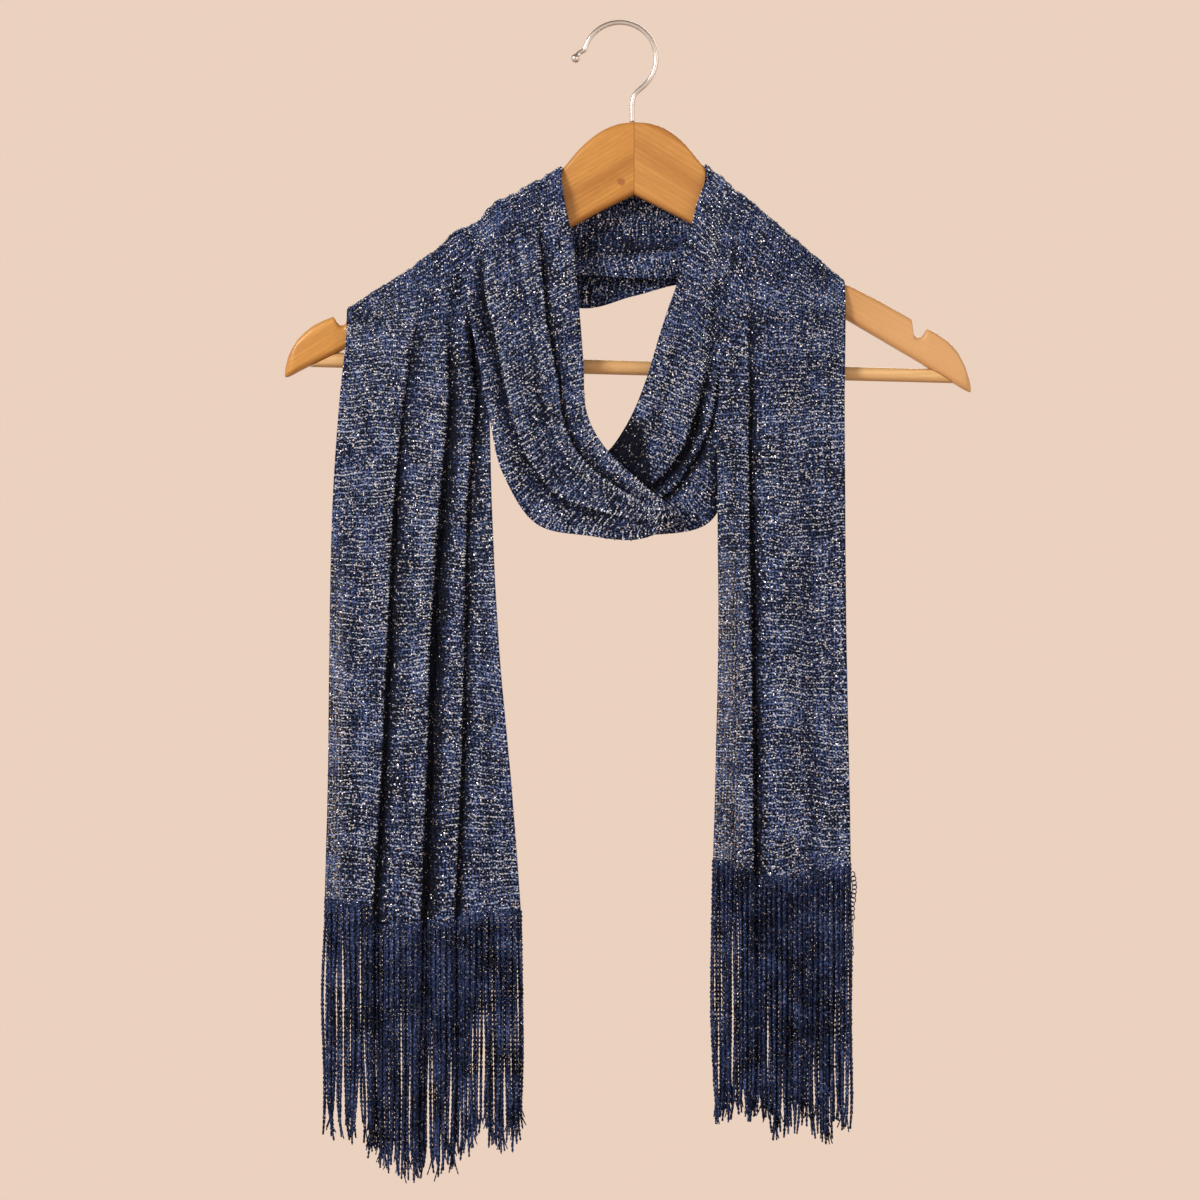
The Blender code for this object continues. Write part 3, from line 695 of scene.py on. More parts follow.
# %% [markdown]
# ## Metal film in the rows
# Across each gap between two pillars the inlay shows as a bright dash. There are tens of
# thousands, each a little turned, and their glitter is what one sees first. They are real
# slivers: Geometry Nodes puts an eight-sided grain on every point of a stitch grid, turned to
# the cloth and then by a random angle. A grain is thicker than the cloth, so one shows on both
# faces. Its tint is stored on it, and runs from bare silver to film that lies in shadow.

# %% Dash material
FILM_DARK = (0.012, 0.020, 0.060, 1.0)
FILM_BLUE = (0.29, 0.38, 0.62, 1.0)
FILM_BRIGHT = (0.84, 0.93, 1.0, 1.0)


def make_film_material():
    """Metal film: bright silver to dull blue by its tint, the dark end painted shade."""
    mat, tree, bsdf = new_material("metal film", metallic=0.35)
    tint = stored(tree, "tint")
    colour = blend_colours(tree, ramp(tree, tint, 0.25, 0.62), FILM_DARK, FILM_BLUE)
    colour = blend_colours(tree, ramp(tree, tint, 0.53, 0.76), colour, FILM_BRIGHT)
    feed(tree, bsdf, {"Base Color": colour,
                      "Roughness": calc(tree, "MULTIPLY_ADD", tint, -0.20, 0.48)})
    return mat


FILM = make_film_material()


# %% Parts of Geometry Nodes trees
def point_value(tree, name, kind):
    """An attribute of the points."""
    return node(tree, "GeometryNodeInputNamedAttribute", {"Name": name}, data_type=kind).outputs[0]


def random_number(tree, low, high, inputs):
    """A random number for each element."""
    return node(tree, "FunctionNodeRandomValue", {2: low, 3: high, **inputs},
                data_type="FLOAT").outputs[1]


def turn_locally(tree, rotation, angles):
    """A rotation turned further about its own axes."""
    spin = node(tree, "FunctionNodeEulerToRotation", {0: angles}).outputs[0]
    return node(tree, "FunctionNodeRotateRotation", {"Rotation": rotation, "Rotate By": spin},
                rotation_space="LOCAL").outputs[0]


def add_grains(tree, inputs):
    """Eight-sided grains on points."""
    grain = node(tree, "GeometryNodeMeshUVSphere", {"Segments": 4, "Rings": 2, "Radius": 0.5})
    return node(tree, "GeometryNodeInstanceOnPoints",
                {"Instance": grain.outputs["Mesh"], **inputs}).outputs[0]


def realize(tree, geometry):
    """Instances made into plain geometry."""
    return node(tree, "GeometryNodeRealizeInstances", {"Geometry": geometry}).outputs[0]


def set_material(tree, geometry, material):
    """Geometry with its material."""
    return node(tree, "GeometryNodeSetMaterial",
                {"Geometry": geometry, "Material": material}).outputs[0]


# %% Dash tree
def make_dash_tree():
    """Geometry Nodes: one grain of film at each point, turned to the cloth."""
    tree, given, end = new_group(
        "GeometryNodeTree", "film dashes",
        (("Geometry", "Geometry", None), ("Length", "Float", 2.2 * MM),
         ("Width", "Float", 0.5 * MM), ("Height", "Float", 1.5 * MM), ("Turn", "Float", 0.3),
         ("Slant", "Float", 0.15), ("Seed", "Int", 1), ("Material", "Material", None)),
        (("Geometry", "Geometry"),))
    turn = node(tree, "FunctionNodeAxesToRotation",
                {"Primary Axis": point_value(tree, "out", "FLOAT_VECTOR"),
                 "Secondary Axis": point_value(tree, "across", "FLOAT_VECTOR")},
                primary_axis="Z", secondary_axis="X").outputs[0]
    swing = times(tree, random_number(tree, -1.0, 1.0, {"Seed": given["Seed"]}), given["Turn"])
    spin = node(tree, "ShaderNodeCombineXYZ", {2: calc(tree, "SUBTRACT", swing, given["Slant"])})
    length = times(tree, given["Length"], point_value(tree, "share", "FLOAT"))
    size = node(tree, "ShaderNodeCombineXYZ", {0: length, 1: given["Width"], 2: given["Height"]})
    grains = add_grains(tree, {"Points": given["Geometry"], "Scale": size.outputs[0],
                               "Rotation": turn_locally(tree, turn, spin.outputs[0])})
    flat = node(tree, "GeometryNodeSetShadeSmooth", {"Geometry": realize(tree, grains),
                                                     "Shade Smooth": False}).outputs[0]
    feed(tree, end, {0: set_material(tree, flat, given["Material"])})
    return tree


def socket_id(tree, label):
    """The identifier of a tree's named input, which a modifier's value is set by."""
    return next(item.identifier for item in tree.interface.items_tree
                if item.name == label and item.in_out == "INPUT")


def take_mesh(source):
    """The mesh that an object comes to with its modifiers. The object itself is dropped."""
    mesh = bpy.data.meshes.new_from_object(source.evaluated_get(
        bpy.context.evaluated_depsgraph_get()))
    old = source.data
    bpy.data.objects.remove(source)
    (bpy.data.meshes if isinstance(old, bpy.types.Mesh) else bpy.data.curves).remove(old)
    return mesh


def grow(source, tree, values, name):
    """Run a node tree on an object and keep only the result, as a plain mesh."""
    grown = source.modifiers.new("grow", "NODES")
    grown.node_group = tree
    for label, value in values.items():
        grown[socket_id(tree, label)] = value
    mesh = take_mesh(source)
    mesh.name = name
    return add_object(name, mesh)


def point_object(name, points, **attributes):
    """Loose points with named vectors and numbers."""
    mesh = bpy.data.meshes.new(name)
    mesh.from_pydata((points * MM).tolist(), [], [])
    for label, values in attributes.items():
        values = np.asarray(values, np.float32)
        vectors = values.ndim == 2
        layer = mesh.attributes.new(label, "FLOAT_VECTOR" if vectors else "FLOAT", "POINT")
        layer.data.foreach_set("vector" if vectors else "value", values.ravel())
    return add_object(name, mesh)


# %% Dashes on every stretch
DASH_TREE = make_dash_tree()
DASH_LENGTH, DASH_WIDTH, DASH_HEIGHT, DASH_TURN = 2.95, 1.38, 1.6, 0.30
# A row of dashes and a row of flecks: wander along the band, wander across, how bright at most,
# how bright at least, and length.
DASH_ROW = (0.07, 0.18, 1.0, 0.06, 1.0)
FLECK_ROW = (0.11, 0.25, 0.75, 0.0, 0.5)
FLECK_SHARE = 0.75
DASH_LENGTHS = (0.7, 1.15)
DASH_MARGIN = 0.005
CLOUD_CELL = 11.0
SPARKLE = 1.35
# Tint: gain of each dash's own brightness, gain of the patches, least tint, and how much of it
# the painted shade of the pleats and crossings takes away.
OWN_GAIN, CLOUD_GAIN, LEAST_TINT, PLEAT_SHADE_LOSS = 1.02, 0.46, 0.03, 0.8
# Where the pleats open over the wings, and on the nape, the film is calmer.
ARCH_CALM, PLAY_GAIN, SPECKLED_CALM = 0.55, 0.6, 0.72
SPECKLED = ("band_near", "band_far")
SPECKLED_TURN = 0.9


def cloud(rng, x, y, cell):
    """Soft random patches from 0 to 1, about a cell across."""
    grid = rng.random((int(y.max() / cell) + 3, int(x.max() / cell) + 3))
    gx, gy = x / cell, y / cell
    i, j = gx.astype(int), gy.astype(int)
    fx, fy = gx - i, gy - j
    fx, fy = fx * fx * (3 - 2 * fx), fy * fy * (3 - 2 * fy)
    low = grid[j, i] * (1 - fx) + grid[j, i + 1] * fx
    high = grid[j + 1, i] * (1 - fx) + grid[j + 1, i + 1] * fx
    return low * (1 - fy) + high * fy


def make_dashes(wrap, name, first, last, pillars):
    """The metal film of one stretch: a row of dashes, then a row of flecks, by turns."""
    rng = np.random.default_rng(len(name) * 31 + pillars)
    start, end = stretch_span(wrap, first, last)
    rows = int((end - start) / ROW_PITCH)
    lines = []
    for j in range(rows * 2):
        gaps = np.arange(pillars) + 0.5
        if j % 2:
            gaps = gaps[rng.random(pillars) < FLECK_SHARE]
        count = len(gaps)
        wander_along, wander_across, brightest, least, length = FLECK_ROW if j % 2 else DASH_ROW
        u = start + (j / 2 + FIRST_ROW + rng.normal(0, wander_along, count)) * ROW_PITCH
        s = (gaps + rng.normal(0, wander_across, count)) / pillars
        strength = rng.random(count) ** SPARKLE * brightest + least
        share = length * rng.uniform(*DASH_LENGTHS, count)
        lines.append(np.stack([s, u, strength, share], axis=1))
    s, u, tint, share = np.concatenate(lines).T
    u = u + row_shift(s, u)
    keep = (s > DASH_MARGIN) & (s < 1 - DASH_MARGIN) & (u < end - 0.5) & (u > start + 0.3)
    s, u, tint, share = s[keep], u[keep], tint[keep], share[keep]
    patches = cloud(rng, s * pillars * PILLAR_PITCH, u - start, CLOUD_CELL)
    tint = tint * OWN_GAIN + patches * CLOUD_GAIN + LEAST_TINT
    # Painted shade: dashes in the pleats and beside the crossings are dimmed.
    tint *= 1 - PLEAT_SHADE_LOSS * wrap.shadow(name, s, u)
    play = smooth_through(wrap.knots, wrap.play, u)[:, 0]
    calm = np.clip(ARCH_CALM + PLAY_GAIN * play, ARCH_CALM, 1.0)
    calm *= SPECKLED_CALM if name in SPECKLED else 1.0
    tint *= 0.4 + 0.6 * calm
    share *= calm
    points, across, out = wrap.frame_at(name, s, u)
    points -= out * CLOTH_THICKNESS / 2
    source = point_object(f"stitches_{name}", points, across=across, out=out, tint=tint,
                          share=share)
    dashes = grow(source, DASH_TREE,
                  {"Length": DASH_LENGTH * MM, "Width": DASH_WIDTH * MM,
                   "Height": DASH_HEIGHT * MM,
                   "Turn": SPECKLED_TURN if name in SPECKLED else DASH_TURN, "Seed": pillars,
                   "Material": FILM}, f"film_{name}")
    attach(dashes, "root")
    print(dashes.name, "dashes", len(s), "triangles", len(dashes.data.polygons))


for stretch in STRETCHES:
    make_dashes(*stretch[:-1])

# %% [markdown]
# ## The fringe
# Past the hem each pillar hangs free. Its chain of loops makes a knobbly strand about two
# millimetres thick, which catches on its neighbours, so the fringe falls in locks with narrow
# partings and ends in splayed tips. The strands' paths are worked out here, and Geometry Nodes
# sweeps a small square round each, swells it at every loop and twists it.

# %% Strand tree
STRAND_SHADE = 0.42
STRAND_GLINTS = (1300.0, 0.07)


def make_strand_tree():
    """Geometry Nodes: knobbly twisted yarn along every curve, with glints of film on it."""
    tree, given, end = new_group(
        "GeometryNodeTree", "chain strands",
        (("Geometry", "Geometry", None), ("Radius", "Float", 0.6 * MM),
         ("Loop", "Float", 2.2 * MM), ("Twist", "Float", 900.0), ("Swell", "Float", 0.45),
         ("Film Share", "Float", 0.4), ("Sides", "Int", 4), ("Seed", "Int", 1),
         ("Yarn", "Material", None), ("Film", "Material", None)),
        (("Geometry", "Geometry"),))
    seed = {"Seed": given["Seed"]}
    step = calc(tree, "DIVIDE", given["Loop"], 2.0)
    fine = node(tree, "GeometryNodeResampleCurve", {"Curve": given["Geometry"], "Length": step},
                mode="LENGTH").outputs[0]
    along = node(tree, "GeometryNodeSplineParameter").outputs["Length"]
    phase = calc(tree, "DIVIDE", times(tree, along, math.pi), given["Loop"])
    beat = calc(tree, "ABSOLUTE", calc(tree, "SINE", phase))
    swell = calc(tree, "MULTIPLY_ADD", beat, given["Swell"], 0.72)
    index = node(tree, "GeometryNodeInputIndex").outputs[0]
    uneven = random_number(tree, 0.85, 1.15, {"ID": index, **seed})
    own = node(tree, "GeometryNodeInputRadius").outputs[0]
    thickness = times(tree, given["Radius"], own)
    radius = times(tree, thickness, times(tree, swell, uneven))
    tilt = times(tree, along, given["Twist"])
    twisted = node(tree, "GeometryNodeSetCurveTilt", {"Curve": fine, "Tilt": tilt}).outputs[0]
    ring = node(tree, "GeometryNodeCurvePrimitiveCircle",
                {"Resolution": given["Sides"], "Radius": 1.0}).outputs[0]
    tube = node(tree, "GeometryNodeCurveToMesh", {"Curve": twisted, "Profile Curve": ring,
                                                  "Scale": radius, "Fill Caps": True}).outputs[0]
    tube = set_material(tree, tube, given["Yarn"])

    spots = node(tree, "GeometryNodeCurveToPoints", {"Curve": fine, "Length": given["Loop"]},
                 mode="LENGTH")
    chosen = node(tree, "FunctionNodeRandomValue", {"Probability": given["Film Share"], **seed},
                  data_type="BOOLEAN").outputs[3]
    angles = node(tree, "FunctionNodeRandomValue",
                  {0: (-0.5, -0.5, -3.0), 1: (0.5, 0.5, 3.0), **seed},
                  data_type="FLOAT_VECTOR").outputs[0]
    wide = times(tree, thickness, 2.25)
    size = node(tree, "ShaderNodeCombineXYZ", {0: wide, 1: times(tree, wide, 0.45),
                                               2: times(tree, given["Loop"], 0.5)})
    grains = add_grains(tree, {"Points": spots.outputs[0], "Selection": chosen,
                               "Rotation": turn_locally(tree, spots.outputs["Rotation"], angles),
                               "Scale": size.outputs[0]})
    tinted = node(tree, "GeometryNodeStoreNamedAttribute",
                  {"Geometry": grains, "Name": "tint",
                   "Value": random_number(tree, 0.25, 1.0, seed)},
                  data_type="FLOAT", domain="INSTANCE").outputs[0]
    film = set_material(tree, realize(tree, tinted), given["Film"])
    both = tree.nodes.new("GeometryNodeJoinGeometry")
    for part in (film, tube):
        feed(tree, both, {0: part})
    feed(tree, end, {0: realize(tree, both.outputs[0])})
    return tree


def make_strand_material():
    """Navy chain yarn for the fringe and the loose chain."""
    mat, tree, bsdf = new_material("navy chain yarn", specular_ior_level=0.12)
    yarn = add_yarn(tree, STRAND_SHADE, *STRAND_GLINTS)
    feed(tree, bsdf, {"Base Color": yarn["Colour"], "Metallic": yarn["Glint"],
                      "Roughness": yarn["Roughness"]})
    return mat


STRAND_TREE = make_strand_tree()
STRAND_YARN = make_strand_material()


def curve_object(name, paths):
    """Open curves through rows of x, y, z and share of the full radius."""
    curve = bpy.data.curves.new(name, "CURVE")
    curve.dimensions = "3D"
    for path in paths:
        spline = curve.splines.new("POLY")
        spline.points.add(len(path) - 1)
        for point, (x, y, z, share) in zip(spline.points, path):
            point.co = (x * MM, y * MM, z * MM, 1.0)
            point.radius = share
    return add_object(name, curve)


# %% Strand paths
# Places where the fringe parts into locks: x, how far it opens, how wide it reaches, and the
# share of the fringe's length where it starts to open.
LEFT_PARTINGS = ((-178, 1.8, 4.5, 0.10), (-165, 1.6, 4.0, 0.55), (-157, 0.8, 3.0, 0.75),
                 (-122.5, 1.8, 5.0, 0.25), (-115, 1.0, 3.5, 0.7), (-102, 1.2, 3.5, 0.6),
                 (-95, 1.0, 3.0, 0.7), (-88, 2.2, 4.5, 0.25), (-80, 1.0, 3.0, 0.05),
                 (-73, 0.9, 3.0, 0.55))
RIGHT_PARTINGS = ((63.6, 0.8, 2.5, 0.0), (73.6, 1.5, 3.0, 0.0), (90.5, 1.6, 5.0, 0.75),
                  (106, 0.8, 4.0, 0.85), (119, 1.2, 5.0, 0.78), (134, 0.8, 4.0, 0.8))
PARTING_SPAN, PARTING_GAIN = 0.35, 2.3
STRAND_STEPS = 18
LOCK_WIDTH = (4.0, 11.0)
EDGE_BOW = 2.2
EDGE_REACH, EDGE_PULL, OUTERMOST = 5, 0.1, 2.2
LAYERS = (0.6, -0.5, -1.6)
TIP_WANDER = (-3, 12)
SPLAY, KICK, DRIFT = 2.2, 1.2, 0.9
TIP_PART, TIP_TAPER = 0.1, 0.45
FORK_FROM, FORK_LENGTH, FORK_LEAN = (0.88, 0.95), (6, 13), (1.2, 3.4)
LEFT_PULL = (0.0, 0.22)
RIGHT_PULL = (0.0, 0.12)


def part_locks(x, t, partings):
    """Sideways shift where the fringe opens into locks."""
    shift = 0.0
    for centre, opening, reach, opens in partings:
        off = (x - centre) / reach
        grown = min(1.0, max(0.0, (t - opens) / PARTING_SPAN))
        width = opening * PARTING_GAIN * off * math.exp(-off * off)
        shift += width * grown * grown * (3 - 2 * grown)
    return shift


def strand_paths(wrap, piece, count, tips, partings, pull_span, seed):
    """Paths of all the strands of one fringe, and of the thin ends that fork from their tips."""
    rng = random.Random(seed)
    hem_at = wrap.at("hem")
    inward = 0.4 if hem_at == 0 else -0.4
    spread = np.linspace(0.0, 1.0, 400)
    line = wrap.points(piece, spread, np.full(400, hem_at + inward))
    arc = np.concatenate([[0], np.cumsum(np.linalg.norm(np.diff(line, axis=0), axis=1))])
    low_x, high_x = line[:, 0].min(), line[:, 0].max()
    bounds = [low_x - 1]
    while bounds[-1] < high_x:
        bounds.append(bounds[-1] + rng.uniform(*LOCK_WIDTH))
    pulls = [rng.uniform(*pull_span) for _ in bounds]
    starts = [rng.uniform(0.0, 0.5) for _ in bounds]
    paths = []
    for i in range(count):
        s = np.interp((i + rng.uniform(0.25, 0.75)) / count * arc[-1], arc, spread)
        root, _, out = (v[0] for v in wrap.frame_at(piece, np.array([s]),
                                                    np.array([hem_at + inward])))
        share_x = (root[0] - line[0][0]) / (line[-1][0] - line[0][0])
        tip_z = float(along_table(tips, np.clip(share_x, 0, 1))) + rng.uniform(*TIP_WANDER)
        layer = LAYERS[i % len(LAYERS)] * rng.uniform(0.6, 1.4)
        drift = rng.uniform(-DRIFT, DRIFT)
        phase, wave_size = rng.uniform(0, 6.28), rng.uniform(0.2, 0.8)
        splay, kick = rng.uniform(-SPLAY, SPLAY), rng.uniform(-KICK, KICK)
        start = root - out * 0.35
        lock = max(0, np.searchsorted(bounds, root[0]) - 1)
        heart = (bounds[lock] + bounds[min(lock + 1, len(bounds) - 1)]) / 2
        edge = min(root[0] - low_x, high_x - root[0]) < EDGE_REACH
        outer = 1 if high_x - root[0] < OUTERMOST else -1 if root[0] - low_x < OUTERMOST else 0
        bow = EDGE_BOW * outer * rng.uniform(0.2, 1.0)
        pull = (heart - root[0]) * (EDGE_PULL if edge else pulls[lock] * rng.uniform(0.7, 1.2))
        path = []
        for k in range(STRAND_STEPS):
            t = k / (STRAND_STEPS - 1)
            tail = max(0.0, (t - 1 + TIP_PART) / TIP_PART)
            gathered = min(1.0, max(0.0, (t - starts[lock]) / 0.5))
            x = start[0] + part_locks(root[0], t, partings) + drift * t
            x += pull * gathered * gathered * (3 - 2 * gathered)
            x += wave_size * math.sin(phase + t * 9) * t + splay * tail ** 1.5
            x += bow * math.sin(math.pi * min(1.0, t * 1.05)) ** 2
            y = start[1] - out[1] * layer * min(1.0, t * 14) * 1.4 + kick * t \
                + 0.4 * math.cos(phase + t * 7) * t
            z = start[2] + 1.2 + (tip_z - start[2] - 1.2) * t
            path.append((x, y, z, 1.0 - TIP_TAPER * tail))
        paths.append(path)
        for _ in range(rng.randint(0, 2)):
            k = rng.uniform(*FORK_FROM) * (STRAND_STEPS - 1)
            before, after = np.array(path[int(k)]), np.array(path[int(k) + 1])
            x, y, z, _ = before * (1 - k % 1) + after * (k % 1)
            lean = rng.uniform(*FORK_LEAN) * rng.choice((-1, 1))
            length = rng.uniform(*FORK_LENGTH)
            paths.append([(x + lean * q ** 1.3, y + kick * 0.6 * q, z - length * q, 0.55 - 0.2 * q)
                          for q in (0, 0.25, 0.5, 0.75, 1.0)])
    return paths


# %% Fringes
STRAND_LOOP = 2.6


def make_fringe(side, wrap, piece, count, radius, tips, partings, pull_span, seed):
    """All the strands below one hem."""
    paths = strand_paths(wrap, piece, count, tips, partings, pull_span, seed)
    source = curve_object(f"paths_{side}", paths)
    fringe = grow(source, STRAND_TREE,
                  {"Radius": radius * MM, "Loop": STRAND_LOOP * MM, "Twist": 500.0,
                   "Swell": 0.42, "Film Share": 0.20, "Sides": 4, "Seed": seed,
                   "Yarn": STRAND_YARN, "Film": FILM}, f"strands_{side}")
    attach(fringe, "root")
    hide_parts(f"fringe_{side}")
    fringe.data.calc_loop_triangles()
    print(fringe.name, "strands", count, "triangles", len(fringe.data.loop_triangles))


make_fringe("left", UNDER, "tail_left", 122, 1.15, LEFT_TIPS, LEFT_PARTINGS, LEFT_PULL, 4)
make_fringe("right", OVER, "tail_right", 88, 1.22, RIGHT_TIPS, RIGHT_PARTINGS, RIGHT_PULL, 5)

# %% [markdown]
# ## A loose chain
# One chain at the right hem has been pulled out of the knit. Its loops hang open as a row of
# small rings, with a bare thread below them.

# %% A chain pulled loose at the right hem
CHAIN_RINGS = 11
CHAIN_PITCH = 2.75
CHAIN_TOP = (149.6, -24.5, -547.0)
CHAIN_RADIUS = 0.42
CHAIN_SWAY, CHAIN_LEAN = 0.9, 0.05
RING_WIDTHS, RING_HEIGHT, RING_TILT = (1.25, 1.65), 1.75, 1.1
THREAD_DROP = 60.0


def ring_path(x, y, z, wide, high, tilt):
    """One closed loop of yarn that hangs from its top."""
    turns = [math.radians(90 + 36 * k) for k in range(11)]
    return [(x + wide * math.cos(a), y + tilt * math.cos(a), z - high + high * math.sin(a), 1.0)
            for a in turns]


def make_pulled_chain():
    """A row of linked loops with a long end of thread."""
    rng = random.Random(8)
    x, y, z = CHAIN_TOP
    paths = []
    for n in range(CHAIN_RINGS):
        middle = x + CHAIN_SWAY * math.sin(n * 0.55) + CHAIN_LEAN * n
        paths.append(ring_path(middle, y, z - n * CHAIN_PITCH, rng.uniform(*RING_WIDTHS),
                               RING_HEIGHT, RING_TILT if n % 2 else -RING_TILT))
    foot = z - CHAIN_RINGS * CHAIN_PITCH
    paths.append([(x - 1.4 * t + 0.5 * math.sin(t * 9), y, foot + 0.6 - THREAD_DROP * t, 0.6)
                  for t in (k / 14 for k in range(15))])
    for drop in (17.0, 20.5):
        paths.append(ring_path(x - 0.6, y, foot - drop, 1.2, 1.6, 0.5))
    source = curve_object("path_pulled_chain", paths)
    chain = grow(source, STRAND_TREE,
                 {"Radius": CHAIN_RADIUS * MM, "Loop": 1.1 * MM, "Twist": 0.0, "Swell": 0.2,
                  "Film Share": 0.1, "Sides": 5, "Seed": 8, "Yarn": STRAND_YARN, "Film": FILM},
                 "pulled_chain")
    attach(chain, "root")
    print(chain.name, "faces", len(chain.data.polygons))


make_pulled_chain()

# %% [markdown]
# ## The hanger
# Two wings of varnished pine meet in a mitre under the hook. They are swept through rounded
# upright sections whose top and bottom lines were measured, with a strap notch near each tip.
# The frame's wings have few facets, so finer ones replace them. An attribute on the mesh darkens
# the rounded edges: a thin dark line along the top, a broad painted shade along the bottom, and
# a dark line at the mitre.

# %% Wood group
GRAIN_STRETCH = (0.09, 1.0, 1.0)
RING_STRENGTH, RIM_STRENGTH = 0.20, 0.55
RIM_BROWN = (0.34, 0.13, 0.03, 1.0)
KNOT_BROWN = (0.30, 0.10, 0.03, 1.0)
# The knot's soft edge from outside to inside, and how far it wanders, in metres.
KNOT_OUTER, KNOT_INNER, KNOT_WANDER = 0.0054, 0.0038, 0.004
KNOT_STRENGTH = 0.75
PALE_PINE = (0.74, 0.47, 0.225, 1.0)
PALE_STRENGTH = 0.6
GRAIN_BUMP, GRAIN_DEPTH = 0.12, 0.2 * MM


def make_wood_group():
    """Pine grain along the group's X axis: colour and height."""
    group, given, out = new_group(
        "ShaderNodeTree", "pine grain",
        (("Vector", "Vector", None), ("Light", "Color", (0.80, 0.52, 0.24, 1)),
         ("Dark", "Color", (0.55, 0.28, 0.09, 1)), ("Ring Width", "Float", 90.0),
         ("Rim", "Float", 0.0)),
        (("Colour", "Color"), ("Height", "Float")))
    stretched = node(group, "ShaderNodeMapping", {"Vector": given["Vector"],
                                                  "Scale": GRAIN_STRETCH}).outputs[0]
    bend = noise(group, stretched, 60.0)["Fac"]
    rings = node(group, "ShaderNodeTexWave",
                 {"Vector": stretched, "Scale": given["Ring Width"], "Distortion": 5.0,
                  "Detail": 2.0, "Detail Scale": 1.2}, bands_direction="Z").outputs["Fac"]
    pores = noise(group, stretched, 1500.0)["Fac"]
    patch = noise(group, stretched, 170.0, 1.0)["Fac"]
    band = times(group, times(group, rings, ramp(group, patch, 0.35, 0.70)), RING_STRENGTH)
    tone = calc(group, "ADD", band, times(group, bend, 0.75))
    tone = calc(group, "ADD", tone, times(group, pores, 0.30))
    colour = blend_colours(group, ramp(group, tone, 0.22, 0.80), given["Dark"], given["Light"])
    # The rim attribute darkens the wood: thin lines on top, painted shade below, and the mitre
    # joint.
    colour = blend_colours(group, times(group, given["Rim"], RIM_STRENGTH), colour, RIM_BROWN)
    feed(group, out, {"Colour": colour, "Height": calc(group, "ADD", pores, band)})
    return group


PINE = make_wood_group()


def make_wood(name, slope, light, dark, ring_width, knot=None, pale_from=None):
    """Varnished pine whose grain runs at a slope in the hanger's plane."""
    mat, tree, bsdf = new_material(name, roughness=0.38, coat_weight=0.3, coat_roughness=0.25,
                                   specular_ior_level=0.45)
    place = own_place(tree)
    turned = node(tree, "ShaderNodeMapping",
                  {"Vector": place, "Rotation": (0, math.radians(slope), 0)}).outputs[0]
    pine = node(tree, "ShaderNodeGroup",
                {"Vector": turned, "Light": light, "Dark": dark, "Ring Width": ring_width,
                 "Rim": stored(tree, "rim")}, node_tree=PINE).outputs
    colour = pine["Colour"]
    if knot:
        near = node(tree, "ShaderNodeVectorMath", {0: place, 1: knot}, operation="DISTANCE")
        wander = times(tree, noise(tree, place, 300.0)["Fac"], KNOT_WANDER)
        radius = calc(tree, "ADD", near.outputs["Value"], wander)
        mask = times(tree, ramp(tree, radius, KNOT_OUTER, KNOT_INNER), KNOT_STRENGTH)
        colour = blend_colours(tree, mask, colour, KNOT_BROWN)
    if pale_from:
        along = node(tree, "ShaderNodeSeparateXYZ", {"Vector": place}).outputs["X"]
        mask = times(tree, ramp(tree, along, *pale_from), PALE_STRENGTH)
        colour = blend_colours(tree, mask, colour, PALE_PINE)
    feed(tree, bsdf, {"Base Color": colour})
    add_bump(tree, bsdf, pine["Height"], GRAIN_BUMP, GRAIN_DEPTH)
    return mat


# %% Wing sections: x, top and bottom in millimetres, from the mitre out to the tip
MITRE_X = 9.7
MITRE_GAP = 0.04
WOOD_THICK = 12.0
WOOD_EDGE_RADIUS = 4.5
LEFT_WING = (
    (MITRE_X - MITRE_GAP / 2, -63, -110.3), (-1, -64.7, -115.5), (-12, -69.5, -121),
    (-25, -80, -128), (-37, -93.8, -134.5), (-60, -110.5, -146.7), (-92, -132.6, -164),
    (-135, -160.3, -187.3), (-174, -184.9, -208.4), (-175.8, -186.4, -209.4),
    (-176.4, -192.6, -209.7), (-178.2, -194.9, -210.6), (-180.6, -194.9, -211.8),
    (-182.6, -192.6, -212.8), (-184.5, -189.1, -213.8), (-191.5, -191.8, -217),
    (-198.4, -195.3, -220.2), (-204, -199.8, -223), (-208.3, -204.2, -225.2),
    (-211.5, -209, -227), (-214.5, -215.2, -228.4), (-216, -221.5, -228.6),
    (-216.5, -224.3, -228.2),
)
RIGHT_WING = (
    (MITRE_X + MITRE_GAP / 2, -63, -110.3), (20, -64, -115.4), (31, -68, -121),
    (43.4, -77.9, -127.3), (51.7, -88, -132.1), (56, -93, -134.6), (83, -115.4, -151.3),
    (100, -129.7, -162), (146, -168.2, -190.5), (150, -169.5, -192.8), (167.7, -178.5, -203.2),
    (186.5, -189, -214.2), (190.0, -191.4, -216.2), (190.4, -199.4, -216.5),
    (191.4, -201.7, -217.1), (193.2, -202.7, -218.1), (195.6, -202.4, -219.5),
    (197.6, -200.6, -220.9), (199.6, -196.8, -222.1), (204.9, -199.6, -225.3),
    (212.4, -204.7, -229.8), (216.5, -208.8, -232.2), (219.8, -212.9, -234.2),
    (224.3, -221.5, -236.9), (227.2, -230.4, -238.2), (228, -235, -238.2),
)
WING_STEP = 0.5
CROWN_STATIONS = 7
MITRE_LINE = 1.6
# Fade of the rim attribute: a thin dark line on the top edges, painted shade on the lower ones.
TOP_RIM_FADE, LOW_RIM_SHADE_FADE = 5.0, 1.4
CORNER_STEPS = 7
CORNER_SHARE = 0.42
TIP_RINGS = 16
SHARP_EDGE = math.radians(50)


